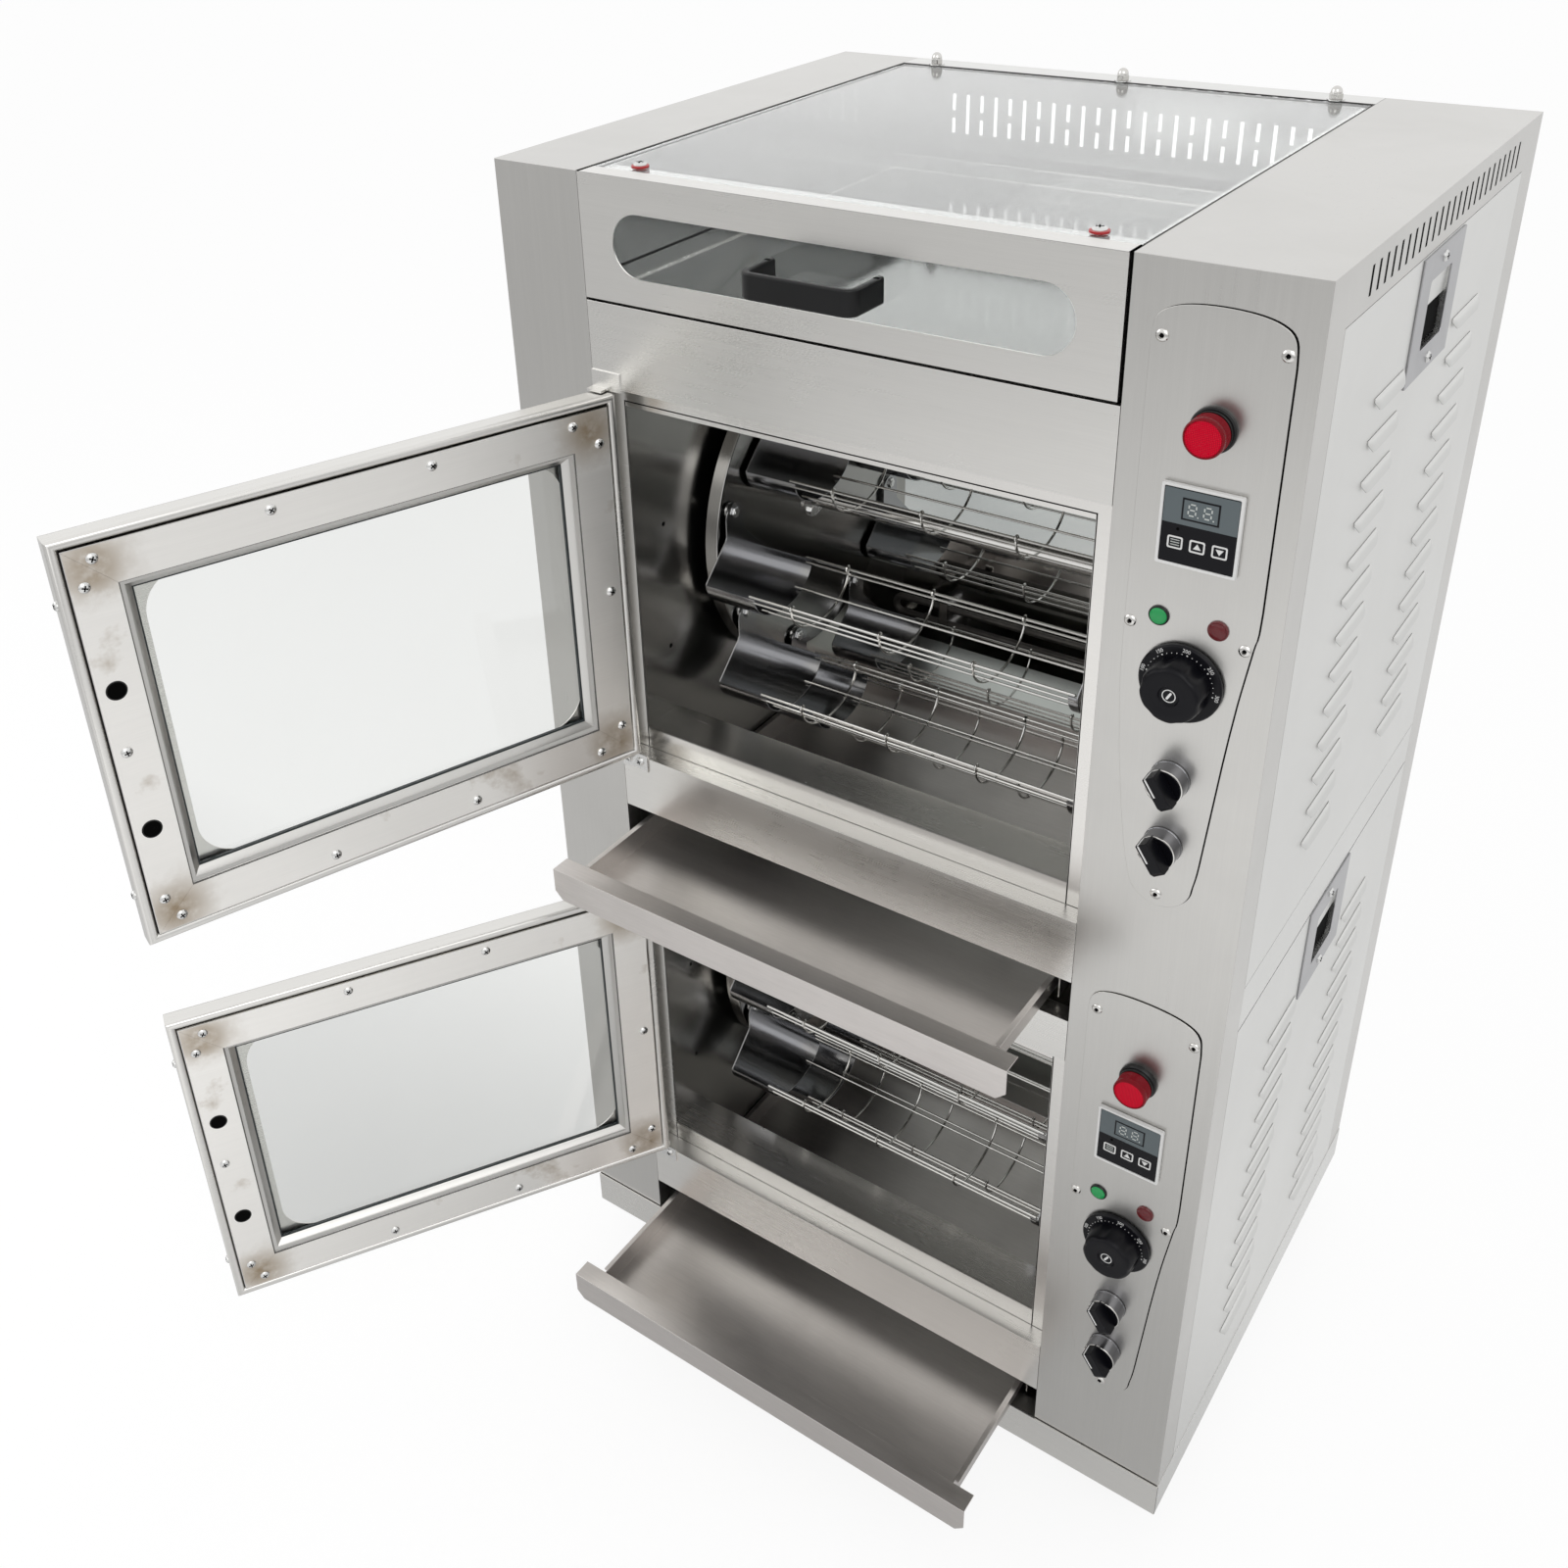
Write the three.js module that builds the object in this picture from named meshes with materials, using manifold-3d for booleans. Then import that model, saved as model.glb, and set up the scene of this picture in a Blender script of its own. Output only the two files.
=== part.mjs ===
// Two-deck drum roaster with a warming and display well on top.
// Lengths are millimetres. The cabinet group holds x from its left side, y from its front and z from its base.
import * as THREE from 'three';
import { mergeVertices } from 'three/addons/utils/BufferGeometryUtils.js';
import Module from 'manifold-3d';

const wasm = await Module();
wasm.setup();

// Driving dimensions
const cabinet = { width: 700, depth: 550, height: 1236, sheet: 1.2 };
const returnDepth = 18;
const bay = { left: 90, width: 479 };
const clear = { seat: 0.3, slide: 0.5 };
const overrun = 5;
const weld = 0.01;
const base = { height: 42.5, press: 2, pressInset: 112, flange: 38 };
const deck = { pitch: 528, slot: 43, apron: 63.5, opening: 376 };
const drawer = { height: 106, proud: 2, gap: 1.5, cover: 18.6 };
const sideFrame = { postWrap: 38, rearPost: 42, topBand: 41.5, railTop: 643, railBottom: 597, foot: 30 };
const ventSlots = { count: 25, first: 83, pitch: 16.44, width: 3, height: 20.5, above: 11.5 };
const louvre = { rows: 13, pitch: 32.4, height: 9.5, proud: 5, fromTop: 82.5, columns: [141, 345], lengths: [71, 77] };
const lift = { front: 218, width: 111, height: 99, below: 1, thick: 1.5, mouth: 57, mouthHeight: 54, cup: 32 };
const panel = {
  thick: 1.2, left: 586, right: 684, top: 1209, shoulder: 1196, waist: 953, elbow: 825, neck: 737, foot: 726,
  elbowIn: 9, neckIn: 22, pitch: 585, archShoulder: 14,
};
const lamp = { x: 636, z: 1126, radius: 14.5, base: 16.6, proud: 20.5, baseThick: 4, stem: 11, reach: 22 };
const pilot = { z: 978.7, lefts: [611.7, 655.5], radius: 7.75, proud: 3, stem: 6, reach: 18 };
const timer = { x: 634.7, z: 1052.7, width: 58.4, height: 61.5, proud: 4, bodyInset: 3, body: 40 };
const thermostat = { x: 633.5, z: 930, skirt: 31.5, skirtThick: 5, grip: 24, gripThick: 20, spindle: 3.5, lobes: 3 };
const selector = {
  x: 633.5, heights: [845.5, 785], radius: 15.5, neck: 10.5, proud: 14, lever: 30, leverWidth: 8, leverProud: 12, leverTurn: 34,
};
const switches = { width: 30, depth: 38, bore: 10, dialWidth: 44, dialHeight: 36, dialDepth: 24 };
const oven = {
  inset: 19, back: 505, ceiling: 464.5, floor: 5, mouthBottom: 129.5, mouthTop: 460.5,
  shelf: 48, shelfDrop: 20, flangeBottom: 106.8,
};
const drum = {
  y: 275, z: 281.5, radius: 168, rim: 14, inset: 25.5, shaft: 10, hub: 30, hubThick: 6, bolts: 8, circle: 150,
  bolt: 4, boltHead: 6.5, headThick: 2, startAngles: [21, 29.6],
};
const bearing = { outer: 22, thick: 10.8 };
const motor = { gear: 36, gearLength: 42, body: 30, bodyLength: 50, socket: 8 };
const basket = {
  halfWidth: 49.4, rim: 57, bottom: 32, wire: 2, hoopWire: 1.4, sheetLength: 56, sheet: 1.2, hoops: 3, hoopPitch: 93.5,
  midOut: 28, midDrop: 22, earHalf: 14, earFoot: 21.6, earTop: 9, slot: 4.9, hang: 4, facets: 4, strap: 2,
};
const ovenLamp = { y: 455, z: 425, base: 24, baseThick: 3, dome: 19, proud: 9 };
const heater = { radius: 4, rise: 64, gap: 20, ys: [95, 455], end: 14, left: 20, steps: 7 };
const tray = {
  proud: 2, lipRise: 1.5, lipHeight: 34, lipDepth: 20, clearEnd: 1, floor: 7.5, rim: 24, flange: 4, inset: 5,
  length: 470, pulled: [146, 112], cornerCut: 9,
};
const runner = { width: 4.4, thick: 1.5, front: 24, back: 490 };
const door = {
  sideGap: 2, proud: 2.6, width: 474, height: 369, thick: 18, bottomGap: 4, pivotIn: 7.5, pivotBack: 4, stile: 45, stepDepth: 7,
  corner: 22, skin: 1.2, glass: 4, glassLap: 8, groove: 2.5, grooveIn: 6, grooveDeep: 3, open: [121.5, 110.2],
  hole: 8.5, holeIn: 24, outerIn: 52, stileHollow: 3,
};
const doorPin = { radius: 3, length: 9, hole: 3.4 };
const bracket = { width: 31, drop: 15, tab: 2, plate: 1.5, back: 9, front: 7 };
const pull = { depth: 43, width: 21, bar: 6, corner: 9, drawerSpan: 102, doorSpan: 134 };
const well = { floor: 1126, ledge: 8, railDepth: 18.5, railHeight: 8, back: 519.5, runner: 2.5, runnerWidth: 11 };
const wellSlots = { count: 24, first: 151, pitch: 15.86, width: 4, bottom: 41.5, top: 80.4, bridgeLow: 56.5, bridgeHigh: 63.7 };
const glass = { thick: 5, top: 0.7 };
const drawerWindow = { left: 35, width: 408, bottom: 24.5, height: 53, lap: 10, thick: 3 };
const drawerBox = { depth: 498, wall: 25, inset: 4.5 };
const caster = {
  height: 68, wheel: 25, wheelWidth: 20, plate: 60, plateThick: 3, inX: 52, inFront: 56, inBack: 56, trail: 18,
  cheek: 2, cheekGap: 1, cheekWidth: 24, axle: 4, ring: 22, ringThick: 4, kingPin: 5, hubGap: 0.5,
};
const gland = { radius: 10, proud: 14, x: 600, z: 120 };

// Finishes
const finishes = {
  steel: new THREE.MeshStandardMaterial({ color: 0xc9c6c0, roughness: 0.34, metalness: 1 }),
  sideSteel: new THREE.MeshStandardMaterial({ color: 0xd2d0cb, roughness: 0.38, metalness: 1 }),
  mirrorSteel: new THREE.MeshStandardMaterial({ color: 0xcfcdc8, roughness: 0.12, metalness: 1 }),
  wire: new THREE.MeshStandardMaterial({ color: 0xd6d3cc, roughness: 0.18, metalness: 1 }),
  sheathed: new THREE.MeshStandardMaterial({ color: 0x5a5852, roughness: 0.55, metalness: 1 }),
  black: new THREE.MeshStandardMaterial({ color: 0x151517, roughness: 0.35, metalness: 0 }),
  lens: new THREE.MeshStandardMaterial({ color: 0xb01822, roughness: 0.2, metalness: 0 }),
  clearGlass: new THREE.MeshStandardMaterial({ color: 0xdfe8e6, roughness: 0.05, transparent: true, opacity: 0.35 }),
  castMotor: new THREE.MeshStandardMaterial({ color: 0x8b8d90, roughness: 0.5, metalness: 0.8 }),
  tyre: new THREE.MeshStandardMaterial({ color: 0x2b2b2c, roughness: 0.6, metalness: 0 }),
};

// Places that several pieces share
const bayRight = bay.left + bay.width;
const bayCentre = bay.left + bay.width / 2;
const deckFloors = [base.height, base.height + deck.pitch];
const deckNames = ['lower', 'upper'];
const fasciaTop = cabinet.height - drawer.height - drawer.gap;
const ovenLeft = bay.left + oven.inset;
const ovenRight = bayRight - oven.inset;
const rearInner = cabinet.depth - cabinet.sheet;
const ovenFront = returnDepth + clear.seat;
const fasciaNames = ['middle', 'upper'];
const seamWidth = 1.2;
const pivot = { x: bay.left + door.sideGap + door.pivotIn, y: -door.proud };

// Solids
function solid(geometry) {
  geometry.deleteAttribute('normal');
  geometry.deleteAttribute('uv');
  const merged = mergeVertices(geometry);
  return new wasm.Manifold(new wasm.Mesh({
    numProp: 3,
    vertProperties: new Float32Array(merged.attributes.position.array),
    triVerts: new Uint32Array(merged.index.array),
  }));
}

function block(x, y, z) {
  const geometry = new THREE.BoxGeometry(x[1] - x[0], y[1] - y[0], z[1] - z[0]);
  geometry.translate((x[0] + x[1]) / 2, (y[0] + y[1]) / 2, (z[0] + z[1]) / 2);
  return solid(geometry);
}

const bases = {
  x: [new THREE.Vector3(0, 1, 0), new THREE.Vector3(0, 0, 1), new THREE.Vector3(1, 0, 0)],
  y: [new THREE.Vector3(0, 0, 1), new THREE.Vector3(1, 0, 0), new THREE.Vector3(0, 1, 0)],
  z: [new THREE.Vector3(1, 0, 0), new THREE.Vector3(0, 1, 0), new THREE.Vector3(0, 0, 1)],
};

// Extrudes an outline along an axis. The outline reads (y, z) for x, (z, x) for y and (x, y) for z.
function prism(axis, outline, range, steps = 4) {
  const options = { depth: range[1] - range[0], bevelEnabled: false, curveSegments: steps };
  const geometry = new THREE.ExtrudeGeometry(outline, options);
  const turn = new THREE.Matrix4().makeBasis(...bases[axis]);
  geometry.applyMatrix4(turn);
  geometry.translate(...bases[axis][2].clone().multiplyScalar(range[0]).toArray());
  return solid(geometry);
}

function polygon(points) {
  return new THREE.Shape(points.map(([a, b]) => new THREE.Vector2(a, b)));
}

function disc(axis, centre, radius, range, sides = 24) {
  const geometry = new THREE.CylinderGeometry(radius, radius, range[1] - range[0], sides);
  const turns = { x: [0, 0, -Math.PI / 2], y: [0, 0, 0], z: [Math.PI / 2, 0, 0] };
  geometry.rotateX(turns[axis][0]).rotateZ(turns[axis][2]);
  const middle = (range[0] + range[1]) / 2;
  const places = { x: [middle, ...centre], y: [centre[0], middle, centre[1]], z: [...centre, middle] };
  geometry.translate(...places[axis]);
  return solid(geometry);
}

function tube(curve, radius, steps, sides = 6) {
  const section = new THREE.Shape();
  for (let i = 0; i < sides; i += 1) {
    const turn = (2 * Math.PI * i) / sides + Math.PI / sides;
    const point = [radius * Math.cos(turn), radius * Math.sin(turn)];
    if (i === 0) section.moveTo(...point);
    else section.lineTo(...point);
  }
  section.closePath();
  return solid(new THREE.ExtrudeGeometry(section, { steps, extrudePath: curve, bevelEnabled: false }));
}

function join(parts) {
  return parts.reduce((whole, part) => whole.add(part));
}

function cut(whole, parts) {
  return parts.reduce((rest, part) => rest.subtract(part), whole);
}

function mesh(name, whole, material, parent) {
  const made = whole.asOriginal().simplify(weld).getMesh();
  const geometry = new THREE.BufferGeometry();
  geometry.setAttribute('position', new THREE.BufferAttribute(new Float32Array(made.vertProperties), made.numProp));
  geometry.setIndex(new THREE.BufferAttribute(new Uint32Array(made.triVerts), 1));
  geometry.computeVertexNormals();
  const piece = new THREE.Mesh(geometry, material);
  piece.name = name;
  parent.add(piece);
  return piece;
}

function groupAt(parent, x, y, z) {
  const nested = new THREE.Group();
  nested.position.set(x, y, z);
  parent.add(nested);
  return nested;
}

function roundedRect(a, b, radius) {
  const shape = new THREE.Shape();
  shape.moveTo(a[0] + radius, b[0]);
  shape.lineTo(a[1] - radius, b[0]);
  shape.absarc(a[1] - radius, b[0] + radius, radius, -Math.PI / 2, 0);
  shape.lineTo(a[1], b[1] - radius);
  shape.absarc(a[1] - radius, b[1] - radius, radius, 0, Math.PI / 2);
  shape.lineTo(a[0] + radius, b[1]);
  shape.absarc(a[0] + radius, b[1] - radius, radius, Math.PI / 2, Math.PI);
  shape.lineTo(a[0], b[0] + radius);
  shape.absarc(a[0] + radius, b[0] + radius, radius, Math.PI, 1.5 * Math.PI);
  return shape;
}

const group = new THREE.Group();
const body = groupAt(group, -cabinet.width / 2, -cabinet.depth / 2, 0);

// Base pan: the middle is pressed down to carry the machine on a trolley or a plinth
function fixedForkAt(x, y) {
  const top = base.press - clear.seat;
  const axleZ = caster.wheel - caster.height;
  const half = caster.wheelWidth / 2 + caster.cheekGap;
  const plate = block(
    [x - caster.plate / 2, x + caster.plate / 2], [y - caster.plate / 2, y + caster.plate / 2],
    [base.press - caster.plateThick, base.press + overrun / 10],
  );
  const cheeks = [-1, 1].map((side) => {
    const inner = x + side * half;
    const outer = inner + side * caster.cheek;
    const range = [Math.min(inner, outer), Math.max(inner, outer)];
    const outline = polygon([
      [y - caster.cheekWidth, top - caster.plateThick + overrun / 10], [y - caster.cheekWidth / 2, axleZ],
      [y, axleZ - caster.cheekWidth / 2], [y + caster.cheekWidth / 2, axleZ],
      [y + caster.cheekWidth, top - caster.plateThick + overrun / 10],
    ]);
    return prism('x', outline, range);
  });
  const axle = disc('x', [y, axleZ], caster.axle, [x - half - caster.cheek / 2, x + half + caster.cheek / 2], 8);
  return join([plate, ...cheeks, axle]);
}

const casterXs = [caster.inX, cabinet.width - caster.inX];
const frontCasterY = caster.inFront;
const rearCasterY = cabinet.depth - caster.inBack;

function swivelPadAt(x) {
  const pad = block(
    [x - caster.plate / 2, x + caster.plate / 2], [frontCasterY - caster.plate / 2, frontCasterY + caster.plate / 2],
    [base.press - caster.plateThick, base.press + overrun / 10],
  );
  const bore = disc('z', [x, frontCasterY], caster.kingPin + clear.slide, [-caster.height, caster.height], 8);
  return [pad, bore];
}

function makeBase() {
  const side = cabinet.sheet + clear.seat;
  const x = [side, cabinet.width - side];
  const y = [cabinet.sheet + clear.seat, rearInner - clear.seat];
  const t = cabinet.sheet;
  const pressX = [base.pressInset, cabinet.width - base.pressInset];
  const pressY = [base.pressInset, cabinet.depth - base.pressInset];
  const innerX = [pressX[0] + t, pressX[1] - t];
  const innerY = [pressY[0] + t, pressY[1] - t];
  const border = cut(block(x, y, [base.press, base.press + t]), [block(innerX, innerY, [0, base.height])]);
  const wall = cut(block(pressX, pressY, [0, base.press + t]), [block(innerX, innerY, [t, base.height])]);
  const flangeZ = [base.press, base.flange];
  const flanges = [
    block([x[0], x[0] + t], y, flangeZ),
    block([x[1] - t, x[1]], y, flangeZ),
    block(x, [y[1] - t, y[1]], flangeZ),
    block([bay.left + clear.seat, bayRight - clear.seat], [0, t], [0, base.height]),
    block([bay.left + clear.seat, bayRight - clear.seat], [0, returnDepth], [base.height - t, base.height]),
    block([bay.left + clear.seat, bayRight - clear.seat], [0, y[0] + t], [base.press, base.press + t]),
  ];
  const pads = casterXs.map(swivelPadAt);
  const forks = casterXs.map((cx) => fixedForkAt(cx, rearCasterY));
  const whole = join([border, wall, ...flanges, ...pads.map(([pad]) => pad), ...forks]);
  mesh('base_frame', cut(whole, pads.map(([, bore]) => bore)), finishes.steel, body);
}

// Casters: the front pair swivels, the rear pair is fixed
function makeCasters() {
  const half = caster.wheelWidth / 2 + caster.cheekGap;
  const names = ['left', 'right'];
  const wheel = cut(
    disc('x', [0, 0], caster.wheel, [-caster.wheelWidth / 2, caster.wheelWidth / 2], 20),
    [disc('x', [0, 0], caster.axle + caster.hubGap, [-caster.wheelWidth, caster.wheelWidth], 8)],
  );
  names.forEach((name, i) => {
    const swivel = groupAt(body, casterXs[i], frontCasterY, base.press - caster.plateThick - clear.seat);
    const drop = caster.wheel - caster.height - (base.press - caster.plateThick - clear.seat);
    const crown = disc('z', [0, 0], caster.ring, [-caster.ringThick, 0], 12);
    const pin = disc('z', [0, 0], caster.kingPin, [-overrun / 5, caster.plateThick], 8);
    const cheeks = [-1, 1].map((side) => {
      const inner = side * half;
      const outer = inner + side * caster.cheek;
      const outline = polygon([
        [-caster.ring / 2, -overrun / 10], [caster.trail - caster.cheekWidth / 3, drop],
        [caster.trail, drop - caster.cheekWidth / 2], [caster.trail + caster.cheekWidth / 2, drop],
        [caster.ring - caster.ringThick, -overrun / 10],
      ]);
      return prism('x', outline, [Math.min(inner, outer), Math.max(inner, outer)]);
    });
    const reach = half + caster.cheek / 2;
    const axle = disc('x', [caster.trail, drop], caster.axle, [-reach, reach], 8);
    mesh(`front_${name}_caster_fork`, join([crown, pin, ...cheeks, axle]), finishes.steel, swivel);
    const frontHub = groupAt(swivel, 0, caster.trail, drop);
    mesh(`front_${name}_wheel`, wheel, finishes.tyre, frontHub);
    const rearHub = groupAt(body, casterXs[i], rearCasterY, caster.wheel - caster.height);
    mesh(`rear_${name}_wheel`, wheel, finishes.tyre, rearHub);
  });
}

// Side frame: front post, top cap and outer side in one folded sheet, open where the side panels sit
function makeSideFrame(name, flip, front) {
  const t = cabinet.sheet;
  const at = (a, b) => (flip ? [cabinet.width - b, cabinet.width - a] : [a, b]);
  const postWidth = flip ? cabinet.width - bayRight : bay.left;
  const whole = join([
    block(at(0, t), [0, cabinet.depth], [0, cabinet.height]),
    block(at(0, postWidth), [0, t], [0, cabinet.height]),
    block(at(0, postWidth), [0, cabinet.depth], [cabinet.height - t, cabinet.height]),
    block(at(postWidth - t, postWidth), [0, returnDepth], [base.height + clear.seat, cabinet.height]),
    block(
      at(postWidth - t, postWidth), [0, rearInner - clear.seat], [cabinet.height - returnDepth / 2, cabinet.height],
    ),
  ]);
  const y = [sideFrame.postWrap, cabinet.depth - sideFrame.rearPost];
  const through = at(-overrun, t + overrun);
  const bandBottom = cabinet.height - sideFrame.topBand;
  const windows = [block(through, y, [sideFrame.foot, bandBottom])];
  const slotTop = cabinet.height - ventSlots.above;
  for (let i = 0; i < ventSlots.count; i += 1) {
    const slotY = ventSlots.first + ventSlots.pitch * i - ventSlots.width / 2;
    windows.push(block(through, [slotY, slotY + ventSlots.width], [slotTop - ventSlots.height, slotTop]));
  }
  mesh(`${name}_side_frame`, cut(whole, [...windows, ...front]), finishes.steel, body);
}

// Side panel: lanced louvres open along their lower edge, two lift handles with sunk finger cups
function makeSidePanel(name, flip) {
  const t = cabinet.sheet;
  const at = (a, b) => (flip ? [cabinet.width - b, cabinet.width - a] : [a, b]);
  const y = [sideFrame.postWrap + clear.seat, cabinet.depth - sideFrame.rearPost - clear.seat];
  const z = [sideFrame.foot + clear.seat, cabinet.height - sideFrame.topBand - clear.seat];
  const mirrored = (points) => polygon(points.map(([x, height]) => [height, flip ? cabinet.width - x : x]));
  const hood = (low, high) => mirrored([[t / 2, high], [-louvre.proud, low], [t / 2, low]]);
  const parts = [block(at(0, t), y, z)];
  const cuts = [];
  [sideFrame.railBottom, z[1]].forEach((top, level) => {
    const start = top - louvre.fromTop - (level === 0 ? louvre.height : 0);
    for (let row = 0; row < louvre.rows; row += 1) {
      const high = start - louvre.pitch * row;
      louvre.columns.forEach((front, column) => {
        const range = [front, front + louvre.lengths[column]];
        parts.push(prism('y', hood(high - louvre.height, high), range));
      });
    }
    const plateTop = top - lift.below;
    parts.push(block(at(-lift.thick, t / 2), [lift.front, lift.front + lift.width], [plateTop - lift.height, plateTop]));
    const mouthY = [lift.front + (lift.width - lift.mouth) / 2, lift.front + (lift.width + lift.mouth) / 2];
    const mouthZ = [plateTop - (lift.height + lift.mouthHeight) / 2, plateTop - (lift.height - lift.mouthHeight) / 2];
    const grown = ([low, high]) => [low - lift.thick, high + lift.thick];
    parts.push(block(at(-lift.thick, lift.cup), grown(mouthY), grown(mouthZ)));
    cuts.push(block(at(-overrun, lift.cup - lift.thick), mouthY, mouthZ));
  });
  [sideFrame.railBottom, sideFrame.railTop].forEach((seam) => {
    cuts.push(block(at(-overrun, t / 2), [y[0] - overrun, lift.front - overrun], [seam - seamWidth / 2, seam + seamWidth / 2]));
    cuts.push(block(
      at(-overrun, t / 2), [lift.front + lift.width + overrun, y[1] + overrun], [seam - seamWidth / 2, seam + seamWidth / 2],
    ));
    if (seam === sideFrame.railTop) {
      cuts.push(block(
        at(-overrun, t / 2), [lift.front - 2 * overrun, lift.front + lift.width + 2 * overrun],
        [seam - seamWidth / 2, seam + seamWidth / 2],
      ));
    }
  });
  mesh(`${name}_side_panel`, cut(join(parts), cuts), finishes.sideSteel, body);
}

// Front plates: channels folded back along their long edges
function channelX(x, z, depth) {
  const t = cabinet.sheet;
  return prism('x', polygon([
    [0, z[0]], [depth, z[0]], [depth, z[0] + t], [t, z[0] + t],
    [t, z[1] - t], [depth, z[1] - t], [depth, z[1]], [0, z[1]],
  ]), x);
}

// Hinge bracket: a plate on the front, a tab over the edge and a pin into the door
function bracketAt(edge, doorEdge, up) {
  const sorted = (a, b) => [Math.min(a, b), Math.max(a, b)];
  const x = [bay.left + clear.seat, bay.left + bracket.width];
  const tabTop = edge + up * bracket.tab;
  const plate = block(x, [-bracket.plate, cabinet.sheet / 2], sorted(edge - up * bracket.drop, tabTop));
  const tab = block(
    [x[0], pivot.x + bracket.front], [pivot.y - bracket.front, pivot.y + bracket.back], sorted(edge, tabTop),
  );
  const pin = disc('z', [pivot.x, pivot.y], doorPin.radius, sorted(edge, doorEdge + up * doorPin.length), 8);
  return join([plate, tab, pin]);
}

function makeFrontPlates() {
  const x = [bay.left + clear.seat, bayRight - clear.seat];
  const depth = returnDepth;
  deckFloors.forEach((floor, level) => {
    const apronTop = floor + deck.slot + deck.apron;
    const openingTop = apronTop + deck.opening;
    const doorBottom = apronTop + door.bottomGap;
    const apron = channelX(x, [floor + deck.slot, apronTop], depth).add(bracketAt(apronTop, doorBottom, 1));
    mesh(`${deckNames[level]}_apron`, apron, finishes.steel, body);
    const top = level === 0 ? deckFloors[1] : fasciaTop;
    const fascia = channelX(x, [openingTop, top], depth).add(bracketAt(openingTop, doorBottom + door.height, -1));
    mesh(`${fasciaNames[level]}_fascia`, fascia, finishes.steel, body);
  });
}

function makeRearPanel() {
  const t = cabinet.sheet;
  const inset = cabinet.sheet + clear.seat;
  const sheet = block([inset, cabinet.width - inset], [rearInner, cabinet.depth], [0, cabinet.height - t - clear.seat]);
  const strip = block([bay.left + clear.seat, bayRight - clear.seat], [well.back + clear.seat, cabinet.depth], [cabinet.height - t, cabinet.height]);
  const riser = block([bay.left + clear.seat, bayRight - clear.seat], [rearInner, cabinet.depth], [cabinet.height - 2 * t, cabinet.height]);
  const nut = disc('y', [gland.x, gland.z], gland.radius, [rearInner, cabinet.depth + gland.proud], 6);
  const bore = disc('y', [gland.x, gland.z], gland.radius / 2, [rearInner - overrun, cabinet.depth + gland.proud + overrun], 12);
  mesh('rear_panel', join([sheet, strip, riser, nut]).subtract(bore), finishes.sideSteel, body);
}

// Sheathed hairpin heater, low at the front and rear of each oven, its ends through the right wall
class Hairpin extends THREE.Curve {
  constructor(left, right, y, low, gap) {
    super();
    Object.assign(this, { left, right, y, low, gap });
  }

  // The first and last steps are the straight runs, and the rest share the bend
  getPoint(t, target = new THREE.Vector3()) {
    if (t <= 0) return target.set(this.right, this.y, this.low);
    if (t >= 1) return target.set(this.right, this.y, this.low + this.gap);
    const bend = this.gap / 2;
    const turn = (Math.PI * (t * heater.steps - 1)) / (heater.steps - 2);
    const part = Math.min(Math.max(turn, 0), Math.PI);
    return target.set(this.left + bend - bend * Math.sin(part), this.y, this.low + bend - bend * Math.cos(part));
  }

  getUtoTmapping(u) {
    return u;
  }
}

// Oven liner, one for each deck
function makeLiner(name, floor) {
  const t = cabinet.sheet;
  const z = [floor + oven.floor, floor + oven.ceiling];
  const y = [ovenFront, oven.back];
  const outside = block([ovenLeft - t, ovenRight + t], [y[0], y[1] + t], [z[0], z[1] + t]);
  const inside = block([ovenLeft, ovenRight], [-overrun, y[1]], [-overrun, z[1]]);
  const flangeX = [bay.left + clear.seat + cabinet.sheet, bayRight - clear.seat - cabinet.sheet];
  const openingTop = floor + deck.slot + deck.apron + deck.opening;
  const flange = cut(
    block(flangeX, [y[0], y[0] + t], [floor + oven.flangeBottom, openingTop - clear.seat]),
    [block([ovenLeft, ovenRight], [0, cabinet.depth], [floor + oven.mouthBottom, floor + oven.mouthTop])],
  );
  const shelf = prism('x', polygon([
    [y[0], floor + oven.mouthBottom - t], [y[0] + oven.shelf - t, floor + oven.mouthBottom - t],
    [y[0] + oven.shelf - t, floor + oven.mouthBottom - oven.shelfDrop],
    [y[0] + oven.shelf, floor + oven.mouthBottom - oven.shelfDrop],
    [y[0] + oven.shelf, floor + oven.mouthBottom], [y[0], floor + oven.mouthBottom],
  ]), [ovenLeft - t / 2, ovenRight + t / 2]);
  const axis = [drum.y, floor + drum.z];
  const housings = [[ovenLeft - bearing.thick, ovenLeft], [ovenRight, ovenRight + bearing.thick]]
    .map((range) => disc('x', axis, bearing.outer, range, 14));
  const ledgeTop = floor + tray.floor + tray.rim - clear.seat - tray.flange / 4;
  const ledgeZ = [ledgeTop - runner.thick, ledgeTop];
  const ledges = [[ovenLeft - t / 2, ovenLeft + runner.width], [ovenRight - runner.width, ovenRight + t / 2]]
    .map((range) => block(range, [runner.front, runner.back], ledgeZ));
  const bore = disc('x', axis, drum.shaft + clear.slide, [0, cabinet.width], 12);
  const pins = heater.ys.map((heaterY) => {
    const right = ovenRight + t + heater.end;
    const curve = new Hairpin(ovenLeft + heater.left, right, heaterY, floor + heater.rise, heater.gap);
    return tube(curve, heater.radius, heater.steps, 6);
  });
  const lampAt = [ovenLamp.y, floor + ovenLamp.z];
  const lampHolder = [
    disc('x', lampAt, ovenLamp.base, [ovenRight - ovenLamp.baseThick, ovenRight + t / 2], 16),
    disc('x', lampAt, ovenLamp.dome, [ovenRight - ovenLamp.proud, ovenRight], 16),
  ];
  const whole = join([cut(outside, [inside]), flange, shelf, ...housings, ...ledges, ...pins, ...lampHolder]);
  mesh(`${name}_oven_liner`, whole.subtract(bore), finishes.mirrorSteel, body);
}

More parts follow.
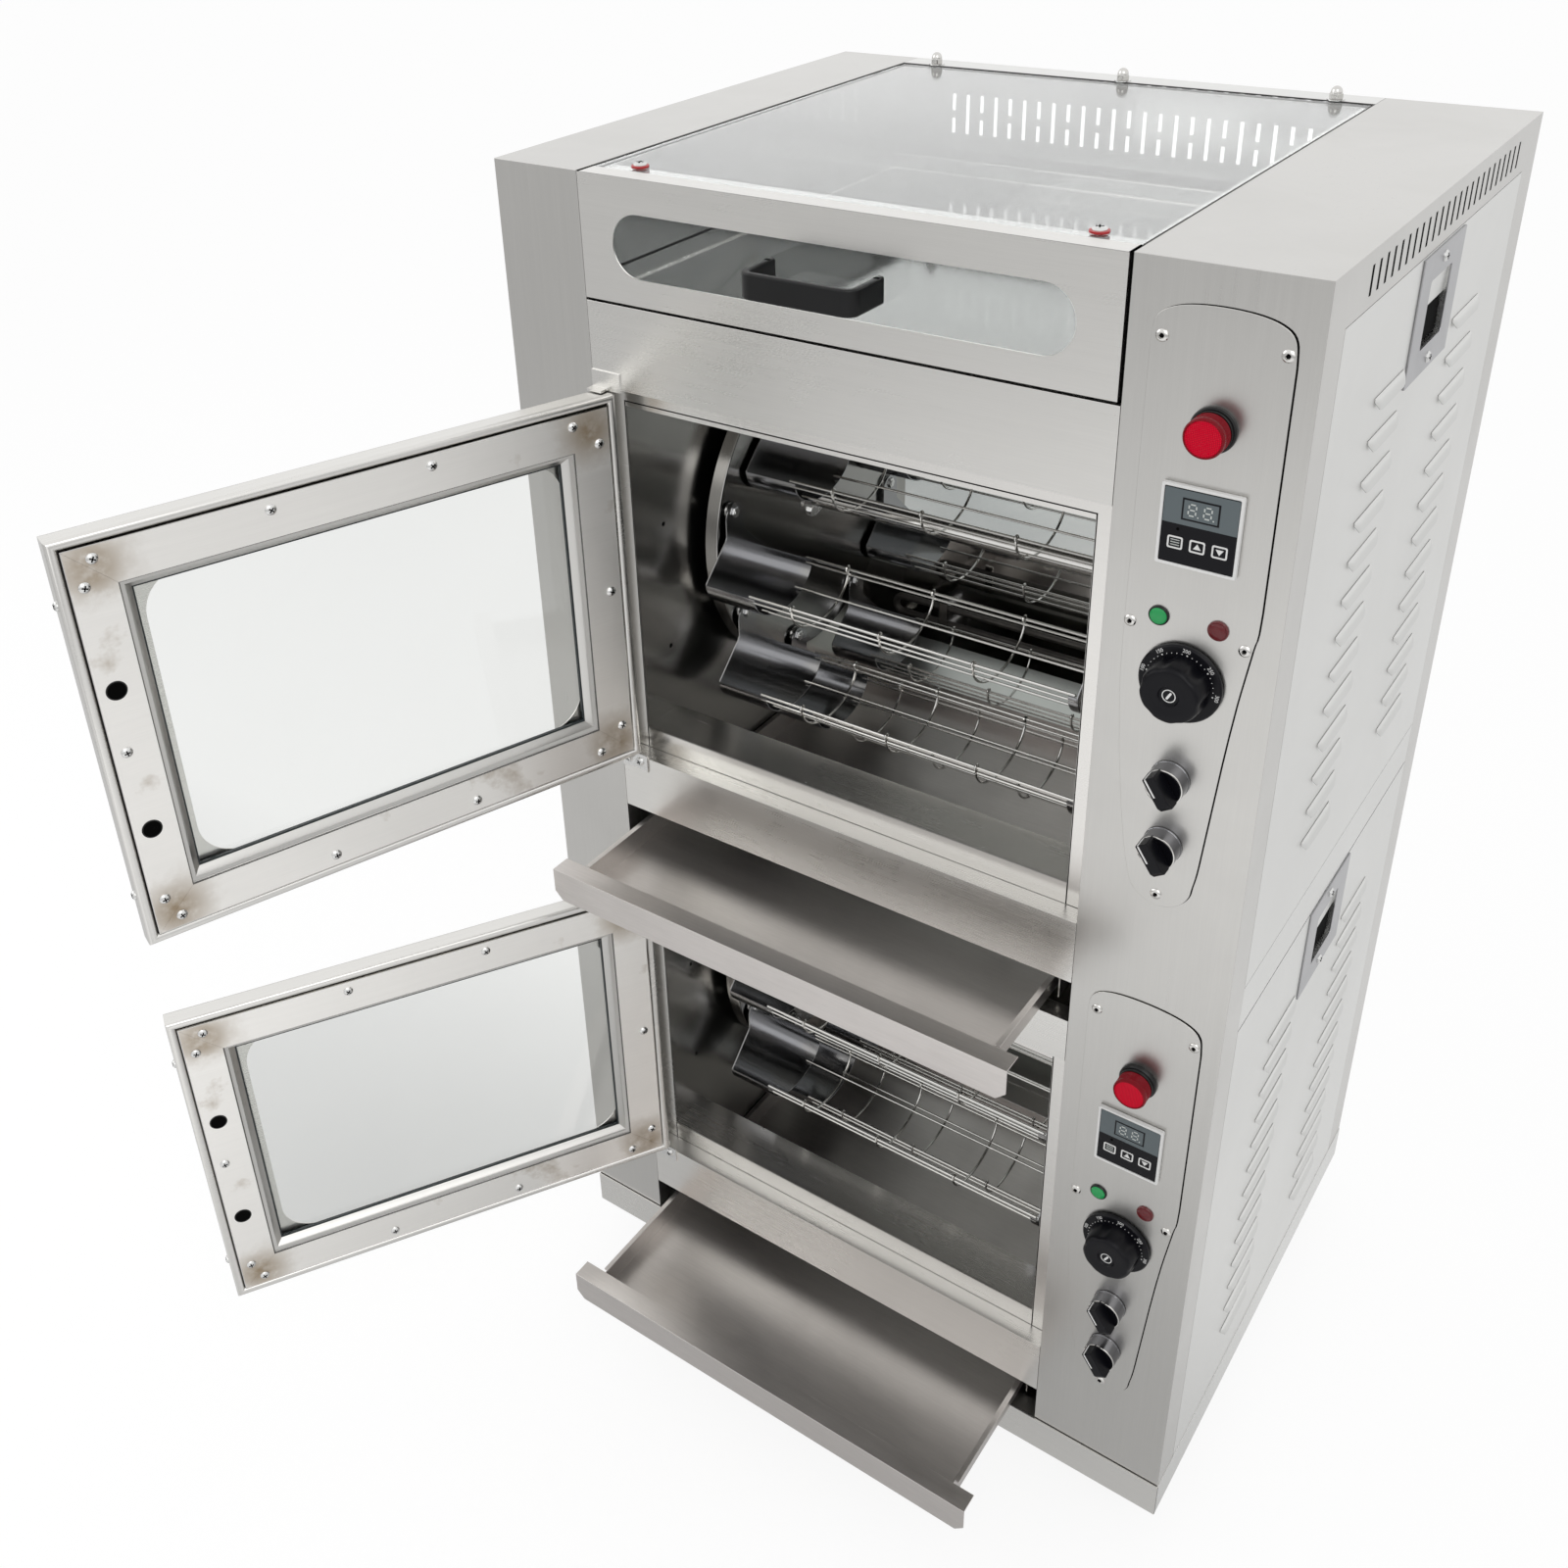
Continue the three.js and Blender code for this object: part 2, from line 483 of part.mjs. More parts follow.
function makeMotor(name, floor) {
  const left = ovenRight + bearing.thick + clear.seat;
  const axis = [drum.y, floor + drum.z];
  const gear = disc('x', axis, motor.gear, [left, left + motor.gearLength], 16);
  const can = disc('x', axis, motor.body, [left + motor.gearLength - overrun, left + motor.gearLength + motor.bodyLength], 16);
  const socket = disc('x', axis, drum.shaft + clear.slide, [left - overrun, left + motor.socket], 12);
  mesh(`${name}_gear_motor`, gear.add(can).subtract(socket), finishes.castMotor, body);
}

// Drum: two flanged discs on a through shaft, with headed bolts that the baskets hang from
function makeDrum(name, floor, startAngle) {
  const t = cabinet.sheet;
  const place = groupAt(body, bayCentre, drum.y, floor + drum.z);
  const half = (ovenRight - ovenLeft) / 2;
  const face = half - drum.inset;
  const shaftEnds = [-half - bearing.thick + clear.seat, half + bearing.thick + clear.seat + motor.socket - clear.seat * 2];
  const pieces = [disc('x', [0, 0], drum.shaft, shaftEnds, 12)];
  [-1, 1].forEach((side) => {
    const ordered = (a, b) => (side > 0 ? [a, b] : [-b, -a]);
    const plate = disc('x', [0, 0], drum.radius, ordered(face, face + drum.rim), 28);
    const dish = disc('x', [0, 0], drum.radius - t, ordered(face + t, face + drum.rim + overrun), 28);
    pieces.push(plate.subtract(dish));
    pieces.push(disc('x', [0, 0], drum.hub, ordered(face + t / 2, face + t + drum.hubThick), 12));
    for (let i = 0; i < drum.bolts; i += 1) {
      const turn = ((startAngle + (360 / drum.bolts) * i) * Math.PI) / 180;
      const centre = [drum.circle * Math.cos(turn), drum.circle * Math.sin(turn)];
      const headFrom = face - basket.hang - basket.sheet - clear.seat - drum.headThick;
      pieces.push(disc('x', centre, drum.bolt, ordered(headFrom + drum.headThick / 2, face + t / 2), 5));
      pieces.push(disc('x', centre, drum.boltHead, ordered(headFrom, headFrom + drum.headThick), 5));
    }
  });
  mesh(`${name}_drum`, join(pieces), finishes.mirrorSteel, place);
  return { place, face };
}

// Basket section: an elliptical trough hung below the rims
function trough(grow, rise) {
  const points = [];
  for (let i = 0; i <= basket.facets; i += 1) {
    const turn = Math.PI + (Math.PI * i) / basket.facets;
    points.push([(basket.halfWidth + grow) * Math.cos(turn), -basket.rim + (basket.bottom + grow) * Math.sin(turn)]);
  }
  const ends = [points[0], points[points.length - 1]];
  if (rise > 0) points.push([ends[1][0], -basket.rim + rise], [ends[0][0], -basket.rim + rise]);
  return polygon(points);
}

function makeBasketSolid(face) {
  const end = face - basket.hang;
  const inner = end - basket.sheetLength;
  const ear = polygon([
    [basket.halfWidth, -basket.rim - basket.sheet], [basket.halfWidth, -basket.rim], [basket.earHalf, -basket.earFoot],
    [basket.earHalf, basket.earTop], [-basket.earHalf, basket.earTop], [-basket.earHalf, -basket.earFoot],
    [-basket.halfWidth, -basket.rim], [-basket.halfWidth, -basket.rim - basket.sheet],
  ]);
  const pieces = [];
  [-1, 1].forEach((side) => {
    const ordered = (a, b) => (side > 0 ? [a, b] : [-b, -a]);
    const scoop = prism('x', trough(0, 0), ordered(inner, end));
    const inside = prism('x', trough(-basket.sheet, overrun), ordered(inner - overrun, end - basket.sheet));
    const plate = prism('x', ear, ordered(end - basket.sheet, end));
    const eye = disc('x', [0, 0], basket.slot, ordered(end - basket.sheet - overrun, end + overrun), 6);
    pieces.push(scoop.subtract(inside).add(plate).subtract(eye));
  });
  const reach = inner + basket.sheet;
  const line = (y, z, radius) => {
    const ends = [-reach, reach].map((x) => new THREE.Vector3(x, y, z));
    return tube(new THREE.LineCurve3(...ends), radius, 1, 3);
  };
  const wires = [];
  [-1, 1].forEach((side) => {
    wires.push(line(side * (basket.halfWidth - basket.wire / 2), -basket.rim, basket.wire));
    wires.push(line(side * basket.midOut, -basket.rim - basket.midDrop, basket.hoopWire));
  });
  const hoops = [];
  for (let i = 0; i < basket.hoops; i += 1) {
    const x = (i - (basket.hoops - 1) / 2) * basket.hoopPitch;
    const range = [x - basket.hoopWire, x + basket.hoopWire];
    hoops.push(prism('x', trough(0, 0), range).subtract(prism('x', trough(-basket.strap, overrun), range)));
  }
  return join([...pieces, ...wires, ...hoops]);
}

function makeDrums() {
  deckFloors.forEach((floor, level) => {
    const name = deckNames[level];
    const { place, face } = makeDrum(name, floor, drum.startAngles[level]);
    const shape = makeBasketSolid(face);
    for (let i = 0; i < drum.bolts; i += 1) {
      const turn = ((drum.startAngles[level] + (360 / drum.bolts) * i) * Math.PI) / 180;
      const hook = groupAt(place, 0, drum.circle * Math.cos(turn), drum.circle * Math.sin(turn));
      mesh(`${name}_basket_${i + 1}`, shape, finishes.wire, hook);
    }
  });
}

// Trays
function makeTray(name, floor, pulled) {
  const t = cabinet.sheet;
  const front = -tray.proud;
  const place = groupAt(body, 0, -pulled, floor);
  const lipX = [bay.left + tray.clearEnd, bayRight - tray.clearEnd];
  const lipZ = [tray.lipRise, tray.lipRise + tray.lipHeight];
  const panX = [ovenLeft + tray.inset, ovenRight - tray.inset];
  const panFront = front + tray.lipDepth;
  const rimZ = tray.floor + tray.rim;
  const face = prism('y', polygon([
    [lipZ[0], lipX[0] + tray.cornerCut], [lipZ[0] + tray.cornerCut, lipX[0]], [lipZ[1], lipX[0]],
    [lipZ[1], lipX[1]], [lipZ[0] + tray.cornerCut, lipX[1]], [lipZ[0], lipX[1] - tray.cornerCut],
  ]), [front, front + t]);
  const top = block(lipX, [front, panFront], [lipZ[1] - t, lipZ[1]]);
  const frontWall = block(panX, [panFront - t, panFront], [tray.floor, lipZ[1]]);
  const panY = [panFront - t, panFront + tray.length];
  const pan = cut(
    block(panX, panY, [tray.floor, rimZ]),
    [block([panX[0] + t, panX[1] - t], [panY[0] + t, panY[1] - t], [tray.floor + t, rimZ + overrun])],
  );
  const flanges = [[panX[0] - tray.flange, panX[0] + t], [panX[1] - t, panX[1] + tray.flange]]
    .map((range) => block(range, [ovenFront + overrun, panY[1]], [rimZ - t, rimZ]));
  mesh(`${name}_tray`, join([face, top, frontWall, pan, ...flanges]), finishes.steel, place);
}

// Doors: hollow frame, glass pane held in its groove, pull handle outside
function makeDoor(name, floor, openAngle) {
  const bottom = floor + deck.slot + deck.apron + door.bottomGap;
  const place = groupAt(body, pivot.x, pivot.y, bottom);
  place.rotation.z = (-openAngle * Math.PI) / 180;
  const u = [-door.pivotIn, door.width - door.pivotIn];
  const v = [-door.pivotBack, door.thick - door.pivotBack];
  const z = [0, door.height];
  const inset = ([low, high], by) => [low + by, high - by];
  const s = door.skin;
  const glassV = [v[0] + s + clear.seat, v[0] + s + clear.seat + door.glass];
  const pocketV = [glassV[0] - clear.seat, glassV[1] + clear.seat];
  const paneInset = door.outerIn - door.glassLap;
  const shell = block(u, v, z);
  const outerWindow = roundedRect(inset(z, door.outerIn), inset(u, door.outerIn), door.corner);
  const innerStep = block(inset(u, door.stile), [v[1] - door.stepDepth, v[1] + overrun], inset(z, door.stile));
  const hollowOuter = block(inset(u, door.stileHollow), [v[0] + s, v[1] - door.grooveDeep - s], inset(z, door.stileHollow));
  const hollowCore = block(inset(u, door.stile - door.stileHollow), [v[0], v[1]], inset(z, door.stile - door.stileHollow));
  const groove = cut(
    block(inset(u, door.grooveIn), [v[1] - door.grooveDeep, v[1] + overrun], inset(z, door.grooveIn)),
    [block(inset(u, door.grooveIn + door.groove), [v[0], v[1] + 2 * overrun], inset(z, door.grooveIn + door.groove))],
  );
  const grips = [-1, 1].map((side) => disc(
    'y', [u[1] - door.holeIn, door.height / 2 + (side * (pull.doorSpan - pull.bar)) / 2], door.hole,
    [v[1] - door.grooveDeep - 2 * s, v[1] + overrun], 10,
  ));
  const pins = [[-overrun, doorPin.length + clear.seat], [door.height - doorPin.length - clear.seat, door.height + overrun]]
    .map((range) => disc('z', [0, 0], doorPin.hole, range, 8));
  const pinBlocks = [[0, doorPin.length + s], [door.height - doorPin.length - s, door.height]]
    .map((range) => block([u[0], u[0] + 3 * door.pivotIn], v, range));
  const hollow = cut(hollowOuter, [hollowCore, ...pinBlocks]);
  const frame = cut(shell, [
    prism('y', outerWindow, [v[0] - overrun, v[1] + overrun]), innerStep, hollow, groove, ...grips, ...pins,
    block(inset(u, paneInset - clear.seat), pocketV, inset(z, paneInset - clear.seat)),
  ]);
  const grip = prism('x', pullOutline(pull.doorSpan)('x'), [-pull.width / 2, pull.width / 2])
    .translate([u[1] - door.holeIn, v[0] + s / 2, door.height / 2]);
  mesh(`${name}_door_frame`, frame.add(grip), finishes.steel, place);
  mesh(`${name}_door_glass`, block(inset(u, paneInset), glassV, inset(z, paneInset)), finishes.clearGlass, place);
}

// Pull handle outline: a C, its legs towards the panel
function pullOutline(span) {
  const half = span / 2;
  const r = pull.corner;
  return (axis) => {
    const shape = new THREE.Shape();
    const put = (call, a, b) => (axis === 'x' ? shape[call](b, a) : shape[call](a, b));
    put('moveTo', -half, 0);
    put('lineTo', -half, -pull.depth + r);
    put('lineTo', -half + r / 3, -pull.depth + r / 3);
    put('lineTo', -half + r, -pull.depth);
    put('lineTo', half - r, -pull.depth);
    put('lineTo', half - r / 3, -pull.depth + r / 3);
    put('lineTo', half, -pull.depth + r);
    put('lineTo', half, 0);
    put('lineTo', half - pull.bar, 0);
    put('lineTo', half - pull.bar, -pull.depth + r);
    put('lineTo', half - r, -pull.depth + pull.bar);
    put('lineTo', -half + r, -pull.depth + pull.bar);
    put('lineTo', -half + pull.bar, -pull.depth + r);
    put('lineTo', -half + pull.bar, 0);
    return shape;
  };
}

// Control panels and what sits in them
function panelOutline(shift, inset) {
  const z = (value) => value - shift;
  const left = panel.left + inset;
  const right = panel.right - inset;
  const middle = (panel.left + panel.right) / 2;
  return polygon([
    [z(panel.foot + inset), middle - panel.neckIn / 2], [z(panel.neck), left + panel.neckIn],
    [z(panel.elbow), left + panel.elbowIn], [z(panel.waist), left], [z(panel.shoulder - inset), left],
    [z(panel.top - inset - panel.archShoulder / 4), left + panel.archShoulder], [z(panel.top - inset), middle],
    [z(panel.top - inset - panel.archShoulder / 4), right - panel.archShoulder], [z(panel.shoulder - inset), right],
    [z(panel.waist), right], [z(panel.elbow), right - panel.elbowIn], [z(panel.neck), right - panel.neckIn],
    [z(panel.foot + inset), middle + panel.neckIn / 2],
  ]);
}

const panelFace = -clear.seat - panel.thick;
const panelShifts = [panel.pitch, 0];

function makeControlPanel(name, shift) {
  const front = panelFace;
  const span = [-overrun, overrun];
  const bore = [-overrun, switches.bore];
  const inner = ([low, high], by) => [low + by, high - by];
  const around = (centre, size) => [centre - size / 2, centre + size / 2];
  const embedded = [front + panel.thick / 2];
  const parts = [prism('y', panelOutline(shift, 0), [front, -clear.seat])];
  const holes = [];
  const lampAt = [lamp.x, lamp.z - shift];
  parts.push(disc('y', lampAt, lamp.base, [front - lamp.baseThick, ...embedded], 16));
  parts.push(disc('y', lampAt, lamp.radius, [front - lamp.proud, front - lamp.baseThick / 2], 16));
  parts.push(disc('y', lampAt, lamp.stem, [...embedded, lamp.reach], 8));
  pilot.lefts.forEach((x) => {
    parts.push(disc('y', [x, pilot.z - shift], pilot.radius, [front - pilot.proud, ...embedded], 12));
    parts.push(disc('y', [x, pilot.z - shift], pilot.stem, [...embedded, pilot.reach], 6));
  });
  const timerX = around(timer.x, timer.width);
  const timerZ = around(timer.z - shift, timer.height);
  const timerFace = [front - clear.seat - timer.proud, front - clear.seat];
  const bezel = block(timerX, timerFace, timerZ);
  const can = block(inner(timerX, timer.bodyInset), [timerFace[1] - timer.proud / 2, timer.body], inner(timerZ, timer.bodyInset));
  mesh(`${name}_timer`, bezel.add(can), finishes.black, body);
  const cutBy = timer.bodyInset - clear.seat;
  holes.push(block(inner(timerX, cutBy), span, inner(timerZ, cutBy)));
  const dialAt = [thermostat.x, thermostat.z - shift];
  parts.push(block(
    around(dialAt[0], switches.dialWidth), [...embedded, switches.dialDepth], around(dialAt[1], switches.dialHeight),
  ));
  holes.push(disc('y', dialAt, thermostat.spindle + clear.slide, bore, 8));
  selector.heights.forEach((height, i) => {
    const centre = [selector.x, height - shift];
    parts.push(block(around(centre[0], switches.width), [...embedded, switches.depth], around(centre[1], switches.width)));
    holes.push(disc('y', centre, selector.neck + clear.slide, bore, 12));
    makeSelector(name, i, centre);
  });
  mesh(`${name}_control_panel`, cut(join(parts), holes), finishes.sideSteel, body);
  makeDial(name, dialAt);
}

function makeDial(name, [x, z]) {
  const place = groupAt(body, x, panelFace - clear.slide, z);
  const skirt = disc('y', [0, 0], thermostat.skirt, [-thermostat.skirtThick, 0], 24);
  const gripBack = -thermostat.skirtThick + overrun / 10;
  const outline = new THREE.Shape();
  const steps = 24;
  for (let i = 0; i < steps; i += 1) {
    const turn = (2 * Math.PI * i) / steps;
    const radius = thermostat.grip - (thermostat.grip / 10) * Math.max(0, Math.cos(thermostat.lobes * turn));
    const point = [radius * Math.cos(turn), radius * Math.sin(turn)];
    if (i === 0) outline.moveTo(...point);
    else outline.lineTo(...point);
  }
  outline.closePath();
  const grip = prism('y', outline, [-thermostat.skirtThick - thermostat.gripThick, gripBack]);
  const spindle = disc('y', [0, 0], thermostat.spindle, [-overrun / 5, switches.bore - panelFace - clear.seat], 8);
  mesh(`${name}_thermostat_knob`, join([skirt, grip, spindle]), finishes.black, place);
}

function makeSelector(name, index, [x, z]) {
  const place = groupAt(body, x, panelFace - clear.slide, z);
  const bezel = disc('y', [0, 0], selector.radius, [-selector.proud, 0], 16);
  const half = selector.leverWidth / 2;
  const end = selector.lever / 2;
  const lever = prism('y', polygon([
    [-end, 0], [half - end, half], [end, half], [end, -half], [half - end, -half],
  ]), [-selector.proud - selector.leverProud, -selector.proud + overrun / 10]).rotate([0, -selector.leverTurn, 0]);
  const neck = disc('y', [0, 0], selector.neck, [-overrun / 5, switches.bore - panelFace - clear.seat], 12);
  mesh(`${name}_selector_${index + 1}`, join([bezel, lever, neck]), finishes.black, place);
}

function panelCutouts() {
  const open = [];
  const span = [-overrun, cabinet.sheet + overrun];
  panelShifts.forEach((shift) => open.push(prism('y', panelOutline(shift, panel.archShoulder), span)));
  return open;
}

// Display well, glass top and drawer
function makeWell() {
  const t = cabinet.sheet;
  const x = [bay.left + clear.seat, bayRight - clear.seat];
  const y = [drawer.cover + clear.slide, well.back];
  const top = cabinet.height - glass.top - glass.thick - clear.seat;
  const pan = cut(block(x, y, [well.floor, top]), [block([x[0] + t, x[1] - t], [-overrun, y[1] - t], [well.floor + t, top + overrun])]);
  const ledges = [[x[0], x[0] + well.ledge], [x[1] - well.ledge, x[1]]].map((range) => block(range, y, [top - t, top]));
  const backLedge = block(x, [y[1] - well.ledge, y[1]], [top - t, top]);
  const rail = block(x, [y[0], y[0] + well.railDepth], [top - well.railHeight, top]);
  const runnerZ = [well.floor, well.floor + t + well.runner];
  const runners = [[x[0] + t / 2, x[0] + well.runnerWidth], [x[1] - well.runnerWidth, x[1] - t / 2]]
    .map((range) => block(range, y, runnerZ));
  const slots = [];
  for (let i = 0; i < wellSlots.count; i += 1) {
    const slotX = [wellSlots.first + wellSlots.pitch * i - wellSlots.width / 2, wellSlots.first + wellSlots.pitch * i + wellSlots.width / 2];
    const levels = i % 2 === 0
      ? [[wellSlots.bottom, wellSlots.bridgeLow], [wellSlots.bridgeHigh, wellSlots.top]]
      : [[wellSlots.bottom, wellSlots.top]];
    levels.forEach((range) => {
      slots.push(block(slotX, [y[1] - t - overrun, y[1] + overrun], range.map((value) => well.floor + value)));
    });
  }
  mesh('display_well', cut(join([pan, ...ledges, backLedge, rail, ...runners]), slots), finishes.sideSteel, body);
  const glassX = [x[0] + clear.slide, x[1] - clear.slide];
  const glassZ = [top + clear.seat, top + clear.seat + glass.thick];
  mesh('top_glass', block(glassX, [y[0], y[1] - clear.slide], glassZ), finishes.clearGlass, body);
}

function makeDrawer() {
  const t = cabinet.sheet;
  const place = groupAt(body, bay.left, -drawer.proud, cabinet.height - drawer.height);
  const x = [clear.slide * 2, bay.width - clear.slide * 2];
  const depth = drawer.cover + drawer.proud;
  const shell = cut(
    block(x, [0, depth], [0, drawer.height]),
    [block([x[0] + t, x[1] - t], [t, depth + overrun], [t, drawer.height - t])],
  );
  const windowX = [drawerWindow.left, drawerWindow.left + drawerWindow.width];
  const windowZ = [drawerWindow.bottom, drawerWindow.bottom + drawerWindow.height];
  const slot = prism('y', roundedRect(windowZ, windowX, drawerWindow.height / 2 - overrun / 50), [-overrun, t + overrun], 8);
  const boxX = [drawerBox.inset, bay.width - drawerBox.inset];
  const boxY = [depth - overrun / 5, drawerBox.depth];
  const lift0 = well.floor + t + well.runner + clear.seat - (cabinet.height - drawer.height);
  const boxZ = [Math.max(lift0, 0), drawerBox.wall];
  const pan = cut(
    block(boxX, boxY, boxZ),
    [block([boxX[0] + t, boxX[1] - t], [boxY[0] - overrun, boxY[1] - t], [boxZ[0] + t, boxZ[1] + overrun])],
  );
  mesh('drawer_front', join([cut(shell, [slot]), pan]), finishes.steel, place);
  const paneY = [t + clear.seat, t + clear.seat + drawerWindow.thick];
  const grown = ([low, high]) => [low - drawerWindow.lap, high + drawerWindow.lap];
  mesh('drawer_window', block(grown(windowX), paneY, grown(windowZ)), finishes.clearGlass, place);
  const middle = (windowX[0] + windowX[1]) / 2;
  const handle = groupAt(place, middle, paneY[0] - clear.seat, (windowZ[0] + windowZ[1]) / 2);
  const grip = pullOutline(pull.drawerSpan);
  mesh('drawer_handle', prism('z', grip('z'), [-pull.width / 2, pull.width / 2]), finishes.black, handle);
}

makeBase();
makeCasters();
makeSideFrame('left', false, []);
makeSideFrame('right', true, panelCutouts());
makeSidePanel('left', false);
makeSidePanel('right', true);
makeFrontPlates();
makeRearPanel();
deckFloors.forEach((floor, level) => {
  makeLiner(deckNames[level], floor);
  makeMotor(deckNames[level], floor);
  makeTray(deckNames[level], floor, tray.pulled[level]);
  makeDoor(deckNames[level], floor, door.open[level]);
  makeControlPanel(deckNames[level], panelShifts[level]);
});
makeDrums();
makeWell();
makeDrawer();

export default group;
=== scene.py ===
import math
import bmesh
import bpy
from mathutils import Matrix, Vector


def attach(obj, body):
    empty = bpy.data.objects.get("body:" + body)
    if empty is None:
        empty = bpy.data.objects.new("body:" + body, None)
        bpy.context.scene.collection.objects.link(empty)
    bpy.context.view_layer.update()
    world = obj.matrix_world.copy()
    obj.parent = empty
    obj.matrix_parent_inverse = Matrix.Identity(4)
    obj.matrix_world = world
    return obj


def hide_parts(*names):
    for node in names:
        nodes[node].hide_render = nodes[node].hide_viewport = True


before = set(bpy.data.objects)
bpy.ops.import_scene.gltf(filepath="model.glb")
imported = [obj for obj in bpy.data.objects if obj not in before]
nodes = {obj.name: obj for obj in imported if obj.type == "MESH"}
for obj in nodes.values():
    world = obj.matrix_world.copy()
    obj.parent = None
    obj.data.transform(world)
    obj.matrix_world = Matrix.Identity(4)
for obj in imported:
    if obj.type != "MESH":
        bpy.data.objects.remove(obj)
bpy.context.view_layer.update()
print("stage: frame loaded")

# The cabinet is drawn in millimetres: x from its left side, y from its front, z from its base
cabinet = {"width": 700, "depth": 550, "height": 1236, "sheet": 1.2}
bay = {"left": 90, "right": 569, "centre": 329.5, "flange": 1.5}
decks = {"lower": 42.5, "upper": 570.5}


def spot(x, y, z):
    return Vector(((x - cabinet["width"] / 2) / 1000, (y - cabinet["depth"] / 2) / 1000, z / 1000))


# Camera and studio
view = {
    "place": (0.62178182, -1.26498837, 1.54267878), "lens": 37.109, "sensor": 36, "shift": (0.0268, -0.1034),
    "right": (0.81423295, 0.57960861, -0.03284129), "down": (0.25694012, -0.4105219, -0.87490202),
    "forward": (-0.52058282, 0.70393581, -0.48318517),
}
studio = {
    "sky": 0.62, "gloss": 1.1, "floor": -0.0682, "floorEdge": 40.0, "floorWhite": 0.8, "floorGlow": 1.08,
    "floorGrey": (0.86, 0.86, 0.86, 1), "floorRough": 0.7, "white": (1, 1, 1, 1), "frontShade": (0.1, -0.5),
    # Painted light in the floor's reflections: a pool of light, shade near the cabinet and shade towards the
    # front
    "pool": {"at": (0.4, -1.9, 0), "reach": 2.8, "bright": 1.36, "dim": 0.64},
    "contact": {"near": 0.35, "far": 1.2, "shade": 0.5},
    "lamps": {"keyLamp": ((1.6, -2.2, 2.9), (0, 0, 0.7), 2.2, 22),
              "fillLamp": ((-2.4, -1.4, 2.2), (0, 0, 0.6), 2.0, 12)},
}


def areaLamp(name, place, target, size, power):
    lamp = bpy.data.objects.new(name, bpy.data.lights.new(name, "AREA"))
    lamp.data.shape, lamp.data.size, lamp.data.energy = "SQUARE", size, power
    lamp.location = place
    lamp.rotation_euler = (Vector(target) - Vector(place)).to_track_quat("-Z", "Y").to_euler()
    bpy.context.scene.collection.objects.link(lamp)


def makeCamera():
    camera = bpy.data.objects.new("camera", bpy.data.cameras.new("camera"))
    bpy.context.scene.collection.objects.link(camera)
    right, down, forward = (Vector(view[k]) for k in ("right", "down", "forward"))
    turn = Matrix((right, -down, -forward)).transposed()
    camera.matrix_world = Matrix.Translation(view["place"]) @ turn.to_4x4()
    camera.data.lens, camera.data.sensor_width = view["lens"], view["sensor"]
    camera.data.shift_x, camera.data.shift_y = view["shift"]
    bpy.context.scene.camera = camera


makeCamera()
for name, settings in studio["lamps"].items():
    areaLamp(name, *settings)


# Material nodes
def setOrLink(tree, socket, value):
    if isinstance(value, bpy.types.NodeSocket):
        tree.links.new(value, socket)
    else:
        socket.default_value = value


# Sockets are named with _ for a space, or i and a number where names repeat
def addNode(tree, kind, settings=None, **sockets):
    node = tree.nodes.new(kind)
    for key, value in (settings or {}).items():
        setattr(node, key, value)
    for key, value in sockets.items():
        numbered = key[0] == "i" and key[1:].isdigit()
        setOrLink(tree, node.inputs[int(key[1:]) if numbered else key.replace("_", " ")], value)
    return node


def newGroup(name, inputs, outputs):
    group = bpy.data.node_groups.new(name, "ShaderNodeTree")
    for label, value in inputs.items():
        kind = "NodeSocketVector" if isinstance(value, tuple) else "NodeSocketFloat"
        group.interface.new_socket(label, in_out="INPUT", socket_type=kind).default_value = value
    for label in outputs:
        group.interface.new_socket(label, in_out="OUTPUT", socket_type="NodeSocketFloat")
    return group, group.nodes.new("NodeGroupInput").outputs, group.nodes.new("NodeGroupOutput").inputs


def mathNode(tree, operation, a, b=0.0, clamp=False):
    return addNode(tree, "ShaderNodeMath", {"operation": operation, "use_clamp": clamp}, i0=a,
                   i1=b).outputs[0]


def times(tree, a, b):
    return mathNode(tree, "MULTIPLY", a, b)


def plus(tree, a, b, clamp=False):
    return mathNode(tree, "ADD", a, b, clamp)


def vectorNode(tree, operation, a, b=(0, 0, 0), out=0):
    return addNode(tree, "ShaderNodeVectorMath", {"operation": operation}, i0=a, i1=b).outputs[out]


def noise(tree, point, scale, detail, roughness=0.5, **more):
    return addNode(tree, "ShaderNodeTexNoise", {}, Vector=point, Scale=scale, Detail=detail,
                   Roughness=roughness, **more).outputs[0]


def ramp(tree, value, low, high, kind="LINEAR", **ends):
    return addNode(tree, "ShaderNodeMapRange", {"interpolation_type": kind}, Value=value,
                   From_Min=low, From_Max=high, **ends).outputs[0]


def mixColour(tree, factor, a, b):
    node = addNode(tree, "ShaderNodeMix", {"data_type": "RGBA"})
    for index, value in ((0, factor), (6, a), (7, b)):
        setOrLink(tree, node.inputs[index], value)
    return node.outputs[2]


def objectPoint(tree):
    return addNode(tree, "ShaderNodeTexCoord").outputs["Object"]


# Rolling grain of a brushed sheet: fine streaks along one direction
def makeGrainGroup():
    tree, given, out = newGroup("sheetGrain", {"Along": (30, 30, 1500), "Depth": 0.5}, ("Streak", "Height"))
    broadScale, fineShare = 0.13, 0.65
    scaled = vectorNode(tree, "MULTIPLY", objectPoint(tree), given["Along"])
    fine, broad = noise(tree, scaled, 1.0, 3.0, 0.6), noise(tree, scaled, broadScale, 2.0)
    tree.links.new(plus(tree, times(tree, fine, fineShare), times(tree, broad, 1 - fineShare)), out["Streak"])
    tree.links.new(times(tree, fine, given["Depth"]), out["Height"])
    return tree


